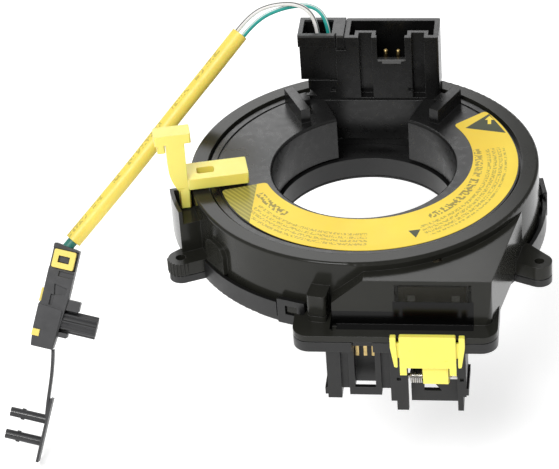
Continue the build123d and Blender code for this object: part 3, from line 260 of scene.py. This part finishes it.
def moulded(name, colour, roughness, grain=0.05, grain_scale=GRAIN_SCALE, edge_share=0.03,
            flow=0.25, uneven=0.06, zones=(), spots=(), clear=(), sockets=None):
    """Injection-moulded plastic: flow marks, fine grain, handling marks and worn edges.

    Each zone is a box and the colour of the faces in it, and each spot a place, a radius
    and a colour. Clear holds boxes, each with how solid the plastic looks in it. Sockets
    are values for the shader itself."""
    n = Nodes(bpy.data.materials.new(name))
    flow_noise = n.noise(FLOW_SCALE, 4.0)
    fine_noise = n.noise(FINE_SCALE, 5.0)
    dark = rgba(darker(colour, flow))
    light = rgba(lighter(colour, flow * FLOW_LIGHT_SHARE))
    body = n.mix(n.ramp(flow_noise, 0.0, 1.0, *FLOW_BAND), dark, light)
    worn, normal = n.edge()
    scuffed = n.maths("MULTIPLY", worn, n.ramp(fine_noise, *SCUFF_SHARES, *SCUFF_BAND), clamp=True)
    body = n.mix(scuffed, body, rgba(lighter(colour, edge_share)))
    for limits, tint in zones:
        body = n.mix(n.zone(limits), body, rgba(tint))
    for centre, radius, tint in spots:
        body = n.mix(n.near(centre, radius), body, rgba(tint))
    n.put(n.shader.inputs["Base Color"], body)
    solid = 1.0
    for limits, share in clear:
        solid = n.maths("MULTIPLY", n.ramp(n.zone(limits), 1.0, share), solid)
    n.put(n.shader.inputs["Alpha"], solid)
    rough = n.maths("ADD", n.ramp(fine_noise, -uneven, uneven, *MIDDLE_BAND), roughness)
    rough = n.maths("ADD", rough, n.maths("MULTIPLY", scuffed, SCUFF_ROUGHNESS), clamp=True)
    n.put(n.shader.inputs["Roughness"], rough)
    n.bump(grain, GRAIN_DEPTH, n.noise(grain_scale, 2.0), Normal=normal)
    for socket, value in (sockets or {}).items():
        n.shader.inputs[socket].default_value = value
    return n.material


LINE_STRETCH = (1.0, 1.0, 0.08)
LINE_SCALE = 3800.0
LINE_STRENGTH = 0.25
LINE_DEPTH = 0.02 * MM
LINE_ROUGHNESS = (-0.08, 0.1)
TARNISH_SCALE = 700.0
TARNISH_SHARE = 0.3


def metal(name, colour, roughness):
    """Drawn or stamped metal with fine lines along its length."""
    n = Nodes(bpy.data.materials.new(name))
    stretched = n.add("ShaderNodeMapping", {"Vector": n.place(), "Scale": LINE_STRETCH})
    lines = n.add(
        "ShaderNodeTexNoise",
        {"Vector": stretched.outputs["Vector"], "Scale": LINE_SCALE, "Detail": 3.0},
    ).outputs["Fac"]
    tarnish = n.ramp(n.noise(TARNISH_SCALE, 4.0), 0.0, 1.0, *TARNISH_BAND)
    body = n.mix(tarnish, rgba(colour), rgba(darker(colour, TARNISH_SHARE)))
    n.put(n.shader.inputs["Base Color"], body)
    n.shader.inputs["Metallic"].default_value = 1.0
    rough = n.maths("ADD", n.ramp(lines, *LINE_ROUGHNESS, *MIDDLE_BAND), roughness)
    n.put(n.shader.inputs["Roughness"], rough)
    n.bump(LINE_STRENGTH, LINE_DEPTH, lines)
    return n.material


# Print of the label. Each block of rows has the rows' pitch, how fine its dashes are, the
# angles in degrees and the radii that it fills, and how dark it is.
LABEL_GOLD = (0.86, 0.60, 0.045)
LABEL_PALE = (0.94, 0.72, 0.075)
LABEL_OLIVE = (0.30, 0.27, 0.055)
LABEL_DULL = (0.46, 0.40, 0.085)
PRINT_GREY = (0.14, 0.13, 0.05)
PRINT_GREEN = (0.055, 0.065, 0.035)
DASH_BLOCKS = (
    (4.0, 1.0, (-152, -128), (33.4, 36.4), 0.75),
    (1.75, 1.7, (-143, -84), (37.2, 43.6), 0.5),
    (4.0, 1.0, (-52, -12), (34.2, 37.2), 0.75),
    (1.75, 1.7, (-60, 14), (38.2, 44.2), 0.5),
    (4.0, 1.2, (-10, 15), (34.4, 36.8), 0.6),
)
DASH_FROM = 0.48
DASH_HEIGHT_SHARE = 0.66
DASHES_PER_DEGREE = 0.64
DASHES_PER_RADIUS = 0.8
DARK_CORNER = [(30.4, 21.4), (43.2, 18.7), (37.5, 29.8)]
SMALL_TRIANGLE = [(16.1, -35.6), (18.6, -39.2), (19.7, -34.8)]
ARROW_HEAD = [(36.3, 26.3), (39.2, 26.3), (37.7, 28.7)]
ARROW_SHAFT = [(37.3, 23.8), (38.4, 23.8), (38.3, 26.5), (37.2, 26.5)]
LABEL_PATCHES = (
    (DARK_CORNER, PRINT_GREEN),
    (SMALL_TRIANGLE, PRINT_GREEN),
    (ARROW_HEAD, LABEL_PALE),
    (ARROW_SHAFT, LABEL_PALE),
)
CLEAR_END_EDGE = -32.1
HATCH_PER_MM = 0.55
HATCH_SHARE = 0.45
TONE_SCALE = 38.0
RUBBED_SCALE = 300.0
LABEL_ROUGHNESS = (0.3, 0.44)
LABEL_SPECULAR = 0.2
WAVE_SCALE = 160.0
WAVE_STRENGTH = 0.06
WAVE_DEPTH = 0.05 * MM


def printed_label():
    """Golden film with rows of plain dashes, an arrow in a dark corner and a clear end."""
    n = Nodes(bpy.data.materials.new("label_film"))
    x, y, _ = n.axes()
    length = n.add("ShaderNodeVectorMath", operation="LENGTH")
    flat = n.add("ShaderNodeCombineXYZ", {"X": x, "Y": y}).outputs["Vector"]
    n.put(length.inputs[0], flat)
    radius = length.outputs["Value"]
    angle = n.maths("MULTIPLY", n.maths("ARCTAN2", y, x), 180.0 / math.pi)

    def dashes(pitch, fineness, angles, radii, strength):
        """Marks of uneven length in rows along the ring."""
        along = n.maths("MULTIPLY", angle, DASHES_PER_DEGREE * fineness)
        across = n.maths("MULTIPLY", radius, DASHES_PER_RADIUS * fineness)
        marked = n.maths("GREATER_THAN", n.flat_noise(along, across), DASH_FROM)
        row = n.maths("FRACT", n.maths("DIVIDE", n.maths("SUBTRACT", radius, radii[0]), pitch))
        marks = n.maths("MULTIPLY", marked, n.within(row, 0.0, DASH_HEIGHT_SHARE))
        there = n.maths("MULTIPLY", n.within(angle, *angles), n.within(radius, *radii))
        return n.maths("MULTIPLY", n.maths("MULTIPLY", marks, there), strength)

    tone = n.ramp(n.noise(TONE_SCALE), 0.0, 1.0, *MIDDLE_BAND)
    body = n.mix(tone, rgba(LABEL_GOLD), rgba(LABEL_PALE))
    for block in DASH_BLOCKS:
        body = n.mix(dashes(*block), body, rgba(PRINT_GREY))
    for places, tint in LABEL_PATCHES:
        body = n.mix(n.corners(places), body, rgba(tint))
    hatch = n.maths("FRACT", n.maths("MULTIPLY", n.maths("ADD", x, y), HATCH_PER_MM))
    clear_end = n.mix(n.within(hatch, 0.0, HATCH_SHARE), rgba(LABEL_OLIVE), rgba(LABEL_DULL))
    body = n.mix(n.maths("LESS_THAN", x, CLEAR_END_EDGE), body, clear_end)
    n.put(n.shader.inputs["Base Color"], body)
    rough = n.ramp(n.noise(RUBBED_SCALE, 4.0), *LABEL_ROUGHNESS, *MIDDLE_BAND)
    n.put(n.shader.inputs["Roughness"], rough)
    n.shader.inputs["Specular IOR Level"].default_value = LABEL_SPECULAR
    n.bump(WAVE_STRENGTH, WAVE_DEPTH, n.noise(WAVE_SCALE))
    return n.material


# Colours
SMOKED = (0.019, 0.019, 0.0155)
PLAIN_BLACK = (0.0075, 0.0075, 0.0075)
SOCKET_BLACK = (0.005, 0.005, 0.005)
PLUG_BLACK = (0.026, 0.026, 0.028)
# Near black for painted shade on the nose wall below the window
PAINTED_SHADE_BLACK = (0.001, 0.001, 0.001)
MARK_BLACK = (0.005, 0.005, 0.005)
MARK_RIM = (0.016, 0.016, 0.016)
# Light grey for a painted highlight on the socket's sill
SILL_HIGHLIGHT_GREY = (0.10, 0.10, 0.10)
# Grey a little lighter than the black, for a painted sheen on the socket rims
RIM_SHEEN_GREY = (0.045, 0.045, 0.045)
BROWN_MARK = (0.055, 0.040, 0.020)
OLIVE = (0.034, 0.025, 0.004)
SQUARE_GREY = (0.24, 0.235, 0.20)
TEAL = (0.03, 0.20, 0.16)
ACETAL_WHITE = (0.78, 0.77, 0.71)
TAPE_BROWN = (0.55, 0.47, 0.33)
LOCK_YELLOW = (0.90, 0.79, 0.16)
LEVER_YELLOW = (0.92, 0.82, 0.13)
INSERT_YELLOW = (0.90, 0.72, 0.13)
SHEATH_YELLOW = (0.92, 0.73, 0.125)
PIN_BRASS = (0.62, 0.46, 0.20)
SPRING_STEEL = (0.62, 0.60, 0.57)
WIRE_WHITE = (0.86, 0.85, 0.83)
WIRE_GREEN = (0.02, 0.38, 0.33)
STRIPE_BLACK = (0.03, 0.03, 0.03)
STRIPE_WHITE = (0.82, 0.82, 0.80)

# Shader values that are the same all over a plastic
SMOKED_GLOSS = {"Specular IOR Level": 0.22}
SOCKET_GLOSS = {"Specular IOR Level": 0.25}
BLACK_GLOSS = {"Specular IOR Level": 0.42}
LOCK_DEPTH = {"Subsurface Weight": 0.25, "Subsurface Scale": 2 * MM}
LEVER_DEPTH = {"Subsurface Weight": 0.2, "Subsurface Scale": 2 * MM}
SHEATH_DEPTH = {"Subsurface Weight": 0.15, "Subsurface Scale": 1 * MM}

# Nose of the case: the window that shows the block behind its wall, on the wall's outer and
# inner face, and painted shade on the wall below the window, for the dark inside behind it
WINDOW_OUTSIDE = ((13.2, 35.8), (-63.0, -58.2), (13.3, 18.9))
WINDOW_INSIDE = ((12.6, 36.4), (-58.2, -56.0), (8.6, 18.9))
PAINTED_SHADE_RIGHT = ((12.6, 36.4), (-63.0, -55.5), (5.0, 13.4))
PAINTED_SHADE_LEFT = ((-6.0, 12.6), (-63.0, -55.5), (5.0, 10.0))

# Sill of the wheel socket in two steps, painted light grey as a painted highlight on its lit edge,
# and the rim of both sockets, painted a little lighter as a painted sheen from the light above
SILL_UPPER = ((2.0, 10.9), (36.0, 38.8), (36.35, 36.9))
SILL_LOWER = ((3.4, 9.4), (36.0, 38.8), (35.6, 36.36))
SOCKET_RIM = (None, None, (44.85, 46.0))

# Round mould mark on the rotor, brown mark in the signal connector, two squares on the block
# behind the nose wall, and the wires' colour where the sleeve meets the airbag plug
MOULD_MARK = (-34.6, 22.4, 22.1)
MOULD_MARK_RADIUS = 2.9
MOULD_MARK_INNER = 2.5
CONNECTOR_MARK = ((0.7, 6.9), (-58.2, -56.9), (-3.0, -0.8))
SQUARE_LEFT = ((16.7, 19.1), (-57.0, -55.0), (11.0, 13.4))
SQUARE_RIGHT = ((29.8, 32.2), (-57.0, -55.0), (11.0, 13.4))
LEAD_END = (-94.0, -2.9, -5.4)
LEAD_END_RADIUS = 3.4

case_plastic = moulded(
    "smoked_case", SMOKED, roughness=0.17, grain=0.006, edge_share=0.05, flow=0.2, uneven=0.012,
    clear=[(WINDOW_OUTSIDE, 0.45), (WINDOW_INSIDE, 0.15)],
    # These two zones are painted shade: the nose wall below the window is painted near black for the dark
    # inside behind it
    zones=[(PAINTED_SHADE_RIGHT, PAINTED_SHADE_BLACK), (PAINTED_SHADE_LEFT, PAINTED_SHADE_BLACK)],
    sockets=SMOKED_GLOSS,
)
cover_plastic = moulded(
    "cover_black", PLAIN_BLACK, roughness=0.34, grain=0.10, edge_share=0.05, sockets=BLACK_GLOSS,
)
rotor_plastic = moulded(
    "rotor_black", PLAIN_BLACK, roughness=0.30, grain=0.12, edge_share=0.05, sockets=BLACK_GLOSS,
    spots=[(MOULD_MARK, MOULD_MARK_RADIUS, MARK_RIM), (MOULD_MARK, MOULD_MARK_INNER, MARK_BLACK)],
)
socket_plastic = moulded(
    "socket_black", SOCKET_BLACK, roughness=0.28, grain=0.08, edge_share=0.10, sockets=SOCKET_GLOSS,
    # The two sill zones are a painted highlight in light grey; the rim zone is a painted sheen
    zones=[(SILL_UPPER, SILL_HIGHLIGHT_GREY), (SILL_LOWER, SILL_HIGHLIGHT_GREY), (SOCKET_RIM, RIM_SHEEN_GREY)],
)
connector_plastic = moulded(
    "connector_black", PLAIN_BLACK, roughness=0.38, grain=0.10, edge_share=0.05, sockets=BLACK_GLOSS,
    zones=[(CONNECTOR_MARK, BROWN_MARK)],
)
plug_plastic = moulded(
    "plug_black", PLUG_BLACK, roughness=0.46, grain=0.12, edge_share=0.06,
    spots=[(LEAD_END, LEAD_END_RADIUS, TEAL)],
)
white_plastic = moulded("acetal_white", ACETAL_WHITE, roughness=0.35, edge_share=0.1, flow=0.05)
olive_plastic = moulded(
    "olive_block", OLIVE, roughness=0.5, edge_share=0.05,
    zones=[(SQUARE_LEFT, SQUARE_GREY), (SQUARE_RIGHT, SQUARE_GREY)],
)
lock_yellow = moulded(
    "lock_yellow", LOCK_YELLOW, roughness=0.34, grain=0.06, edge_share=0.22, flow=0.06, sockets=LOCK_DEPTH,
)
lever_yellow = moulded(
    "lever_yellow", LEVER_YELLOW, roughness=0.32, grain=0.06, edge_share=0.22, flow=0.06, sockets=LEVER_DEPTH,
)
insert_yellow = moulded("plug_insert_yellow", INSERT_YELLOW, roughness=0.36, edge_share=0.2, flow=0.08)
tape_film = moulded("tape_film", TAPE_BROWN, roughness=0.2, edge_share=0.05, flow=0.1)
brass = metal("pin_brass", PIN_BRASS, roughness=0.32)
spring_steel = metal("spring_steel", SPRING_STEEL, roughness=0.26)
label_film = printed_label()

finishes = {
    "upper_case": case_plastic,
    "bottom_cover": cover_plastic,
    "rotor_plate": rotor_plastic,
    "rotor_retainer": rotor_plastic,
    "socket_housing": socket_plastic,
    "wire_block": socket_plastic,
    "connector_block": connector_plastic,
    "terminal_carrier": olive_plastic,
    "roller_carrier": white_plastic,
    "flat_cable": tape_film,
    "lock_lever": lever_yellow,
    "lever_pin": spring_steel,
    "lever_spring": spring_steel,
    "socket_pins": brass,
    "signal_pins": brass,
    "squib_pins": brass,
    "plug_body": plug_plastic,
    "tether_clip": plug_plastic,
    "plug_insert": insert_yellow,
    "plug_clip": insert_yellow,
}
for number in range(1, 7):
    finishes[f"roller_{number}"] = white_plastic
for node, finish in finishes.items():
    mesh = NODES[node].data
    mesh.materials.clear()
    mesh.materials.append(finish)

# Lock tab: the node's own form, with the lip under its head cut to length
TAB_OUTWARD = Vector((-0.9724, -0.2334, 0.0))
LIP_REACH = 60.75 * MM
LIP_BOTTOM = 38.3 * MM
SAME_PLACE = 1e-7
BELOW_CUT = 1e-6
SHARP_ANGLE = math.radians(30)


def trimmed_tab():
    """Copy of the lock tab without what hangs outside its stem, below the lip's length."""
    form = bmesh.new()
    form.from_mesh(NODES["lock_tab"].data)
    bmesh.ops.remove_doubles(form, verts=form.verts, dist=SAME_PLACE)
    lip = [vert for vert in form.verts if vert.co.dot(TAB_OUTWARD) > LIP_REACH]
    faces = {face for vert in lip for face in vert.link_faces}
    edges = {edge for face in faces for edge in face.edges}
    verts = {vert for face in faces for vert in face.verts}
    bmesh.ops.bisect_plane(
        form, geom=[*faces, *edges, *verts], dist=SAME_PLACE,
        plane_co=(0, 0, LIP_BOTTOM), plane_no=(0, 0, 1),
    )
    low = [
        vert for vert in form.verts
        if vert.co.dot(TAB_OUTWARD) > LIP_REACH and vert.co.z < LIP_BOTTOM - BELOW_CUT
    ]
    bmesh.ops.delete(form, geom=low, context="VERTS")
    open_edges = [edge for edge in form.edges if edge.is_boundary]
    bmesh.ops.holes_fill(form, edges=open_edges, sides=0)
    bmesh.ops.recalc_face_normals(form, faces=form.faces)
    for face in form.faces:
        face.smooth = True
    data = bpy.data.meshes.new("lock_tab_trimmed")
    form.to_mesh(data)
    form.free()
    data.set_sharp_from_angle(angle=SHARP_ANGLE)
    data.materials.append(lock_yellow)
    made = new_object("lock_tab_trimmed", data)
    made.modifiers.new("flat_faces", "WEIGHTED_NORMAL").keep_sharp = True
    return made


tab = trimmed_tab()
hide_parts("lock_tab")
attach(tab, "tab")

# Label: a film between two arcs, each a centre and a radius, a little off the rotor's axis.
# Its outer edge rises to the tip from an angle on.
OUTER_ARC = (1.25, 0.25, 46.35)
INNER_ARC = (0.82, 3.1, 32.8)
LABEL_ANGLES = (-161.0, 41.0)
LABEL_STEPS = 101
TIP_FROM_ANGLE = 22.0
TIP_RISE = 0.55
LABEL_CORNER = 1.2 * MM
CORNER_STEPS = 5
CORNER_TURN = math.radians(40)


def arc_reach(arc, angle):
    """Distance from the rotor's axis to an arc, at an angle in radians."""
    x, y, radius = arc
    along = x * math.cos(angle) + y * math.sin(angle)
    return along + math.sqrt(along * along - x * x - y * y + radius * radius)


def mesh_in_order(name, form):
    """Mesh of a form, its corners and faces in order of place, so that each run's is the same."""
    places = sorted(tuple(vert.co) for vert in form.verts)
    numbers = {place: number for number, place in enumerate(places)}
    faces = []
    for face in form.faces:
        ring = [numbers[tuple(vert.co)] for vert in face.verts]
        start = ring.index(min(ring))
        faces.append(ring[start:] + ring[:start])
    form.free()
    data = bpy.data.meshes.new(name)
    data.from_pydata(places, [], sorted(faces))
    return data


def ring_label():
    """Film between the two arcs, as high as the node that it replaces."""
    low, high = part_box("label")
    thickness = high[2] - low[2]
    first, last = LABEL_ANGLES
    angles = [math.radians(first + (last - first) * k / (LABEL_STEPS - 1)) for k in range(LABEL_STEPS)]
    outline = []
    for angle in angles:
        past = max(0.0, (math.degrees(angle) - TIP_FROM_ANGLE) / (last - TIP_FROM_ANGLE))
        outline.append((angle, arc_reach(OUTER_ARC, angle) + past * TIP_RISE))
    outline += [(angle, arc_reach(INNER_ARC, angle)) for angle in reversed(angles)]
    form = bmesh.new()
    ring = [form.verts.new((r * math.cos(a) * MM, r * math.sin(a) * MM, low[2])) for a, r in outline]
    base = form.faces.new(ring)
    raised = bmesh.ops.extrude_face_region(form, geom=[base])["geom"]
    top = [part for part in raised if isinstance(part, bmesh.types.BMVert)]
    bmesh.ops.translate(form, verts=top, vec=(0, 0, thickness))
    bmesh.ops.recalc_face_normals(form, faces=form.faces)
    corner_edges = [
        edge for edge in form.edges
        if abs(edge.verts[0].co.z - edge.verts[1].co.z) > thickness / 2
        and edge.calc_face_angle(0.0) > CORNER_TURN
    ]
    bmesh.ops.bevel(
        form, geom=corner_edges, offset=LABEL_CORNER, segments=CORNER_STEPS, affect="EDGES",
        profile=0.5,
    )
    bmesh.ops.remove_doubles(form, verts=form.verts, dist=SAME_PLACE)
    data = mesh_in_order("ring_label", form)
    data.materials.append(label_film)
    return new_object("ring_label", data)


film = ring_label()
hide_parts("label")
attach(film, "rotor")

# Lead: two wires and their sleeve, on the route of the frame
WIRE_DIAMETER = 1.5 * MM
SHEATH_DIAMETER = 5.4 * MM
WIRE_SPACING = 1.3
ENTRY_RUN = 7.0
WHITE_POINTS = [
    (-17.2, 44.4, 39.0),
    (-17.2, 44.4, 48.0),
    (-22.4, 45.6, 53.6),
    (-31.6, 45.4, 53.4),
]
GREEN_POINTS = [
    (-13.7, 44.8, 39.0),
    (-13.7, 44.8, 47.4),
    (-18.6, 48.0, 51.8),
    (-27.8, 47.2, 51.4),
]
SHEATH_POINTS = [
    (-41.8, 40.2, 45.5),
    (-50.0, 33.0, 37.4),
    (-61.2, 24.2, 26.4),
    (-74.6, 12.6, 13.0),
    (-86.2, 3.6, 1.8),
    LEAD_END,
]
ROUTE_ORDER = 3
ROUTE_STEPS = 16
WIRE_ROUNDNESS = 6
SHEATH_ROUNDNESS = 10


def lead_route(points, side):
    """Route of one wire: its own points, then into the sleeve beside the other wire."""
    first, second = (Vector(p) for p in SHEATH_POINTS[:2])
    along = (second - first).normalized()
    across = along.cross(CAMERA_BACK).normalized()
    last = first + across * side * WIRE_SPACING
    return [Vector(p) for p in points] + [last - along * ENTRY_RUN, last]


def tube(name, points, diameter, material, roundness):
    """Smooth round cord along a route."""
    data = bpy.data.curves.new(name, "CURVE")
    data.dimensions = "3D"
    data.bevel_depth = diameter / 2
    data.bevel_resolution = roundness
    data.use_fill_caps = True
    data.resolution_u = ROUTE_STEPS
    spline = data.splines.new("NURBS")
    spline.points.add(len(points) - 1)
    for point, place in zip(spline.points, points):
        point.co = (*(Vector(place) * MM), 1.0)
    spline.order_u = ROUTE_ORDER
    spline.use_endpoint_u = True
    data.materials.append(material)
    return new_object(name, data)


# Stripes and print of the lead. The places around a tube are shares of the way round it.
STRIPE_HALF = 0.035
WHITE_STRIPE_AT = 0.33
GREEN_STRIPE_AT = 0.32
VINYL_SHADE = 0.1
VINYL_TONE_SCALE = 300.0
VINYL_RUBBED_SCALE = 500.0
VINYL_ROUGHNESS = (0.3, 0.45)
PRINT_BAND = (0.17, 0.29)
PRINT_STRENGTH = 0.4
SLEEVE_DASHES_ALONG = 75.0
SLEEVE_DASHES_AROUND = 17.0
SLEEVE_DASH_FROM = 0.5
SLEEVE_GROUPS_ALONG = 11.0
SLEEVE_GROUP_FROM = 0.46


def striped(name, colour, stripe, around):
    """Vinyl insulation with one line along the wire."""
    n = Nodes(bpy.data.materials.new(name))
    line = n.within(n.tube_place()[1], around - STRIPE_HALF, around + STRIPE_HALF)
    body = n.mix(n.noise(VINYL_TONE_SCALE), rgba(darker(colour, VINYL_SHADE)), rgba(colour))
    n.put(n.shader.inputs["Base Color"], n.mix(line, body, rgba(stripe)))
    n.put(n.shader.inputs["Roughness"], n.ramp(n.noise(VINYL_RUBBED_SCALE), *VINYL_ROUGHNESS))
    return n.material


def print_dashes(material):
    """Faint groups of plain dashes along the side of the sleeve."""
    n = Nodes(material)
    along, around = n.tube_place()

    def chosen(along_scale, around_scale, start):
        """1 where a noise with marks of this size is above a value."""
        spread = n.flat_noise(
            n.maths("MULTIPLY", along, along_scale), n.maths("MULTIPLY", around, around_scale)
        )
        return n.maths("GREATER_THAN", spread, start)

    marks = chosen(SLEEVE_DASHES_ALONG, SLEEVE_DASHES_AROUND, SLEEVE_DASH_FROM)
    groups = chosen(SLEEVE_GROUPS_ALONG, 0.0, SLEEVE_GROUP_FROM)
    there = n.maths("MULTIPLY", n.maths("MULTIPLY", marks, groups), n.within(around, *PRINT_BAND))
    socket = n.shader.inputs["Base Color"]
    body = socket.links[0].from_socket
    n.put(socket, n.mix(n.maths("MULTIPLY", there, PRINT_STRENGTH), body, rgba(PRINT_GREY)))


wire_white_vinyl = striped("wire_white_vinyl", WIRE_WHITE, STRIPE_BLACK, WHITE_STRIPE_AT)
wire_green_vinyl = striped("wire_green_vinyl", WIRE_GREEN, STRIPE_WHITE, GREEN_STRIPE_AT)
sheath_vinyl = moulded(
    "sheath_vinyl", SHEATH_YELLOW, roughness=0.40, grain=0.10, grain_scale=1200.0, edge_share=0.0, flow=0.10,
    sockets=SHEATH_DEPTH,
)
print_dashes(sheath_vinyl)

white_route = lead_route(WHITE_POINTS, 1)
green_route = lead_route(GREEN_POINTS, -1)
white_wire = tube("white_wire", white_route, WIRE_DIAMETER, wire_white_vinyl, WIRE_ROUNDNESS)
green_wire = tube("green_wire", green_route, WIRE_DIAMETER, wire_green_vinyl, WIRE_ROUNDNESS)
sleeve = tube("lead_sleeve", SHEATH_POINTS, SHEATH_DIAMETER, sheath_vinyl, SHEATH_ROUNDNESS)
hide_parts("wire_white")
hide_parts("wire_green")
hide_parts("sheath")
for piece in (white_wire, green_wire, sleeve):
    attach(piece, "rotor")

# Floor and light
FLOOR_REACH = 6.0
FLOOR_GAP = 0.4 * MM
FLOOR_LOOK = {
    "Base Color": (0.93, 0.93, 0.93, 1.0),
    "Roughness": 0.9,
    "Emission Color": (1.0, 1.0, 1.0, 1.0),
    "Emission Strength": 0.42,
}
WORLD_LOOK = {"Color": (1.0, 1.0, 1.0, 1.0), "Strength": 0.38}
KEY_PLACE = (-0.25, -0.8, 0.95)
KEY_SIZE = 0.6
KEY_POWER = 11.6
BACK_PLACE = (-0.36, 0.84, 0.62)
BACK_SIZE = 0.75
BACK_POWER = 5.0


def set_look(node, look):
    for socket, value in look.items():
        node.inputs[socket].default_value = value


def soft_light(name, place, size, power):
    """Square area light aimed at the middle of the part."""
    data = bpy.data.lights.new(name, "AREA")
    data.shape = "SQUARE"
    data.size = size
    data.energy = power
    lamp = new_object(name, data)
    lamp.location = place
    lamp.rotation_euler = (-Vector(place)).to_track_quat("-Z", "Y").to_euler()


floor_mesh = bpy.data.meshes.new("floor")
floor_form = bmesh.new()
bmesh.ops.create_grid(floor_form, x_segments=1, y_segments=1, size=FLOOR_REACH)
floor_form.to_mesh(floor_mesh)
floor_form.free()
floor = new_object("floor", floor_mesh)
floor.location = (0, 0, CAD_BOX[0][2] - FLOOR_GAP)
floor_paint = bpy.data.materials.new("floor_paint")
floor_paint.use_nodes = True
set_look(floor_paint.node_tree.nodes["Principled BSDF"], FLOOR_LOOK)
floor_mesh.materials.append(floor_paint)

world = bpy.data.worlds.new("studio")
world.use_nodes = True
set_look(world.node_tree.nodes["Background"], WORLD_LOOK)
bpy.context.scene.world = world

soft_light("key", KEY_PLACE, KEY_SIZE, KEY_POWER)
soft_light("back_panel", BACK_PLACE, BACK_SIZE, BACK_POWER)
bpy.context.scene.view_settings.view_transform = "Standard"
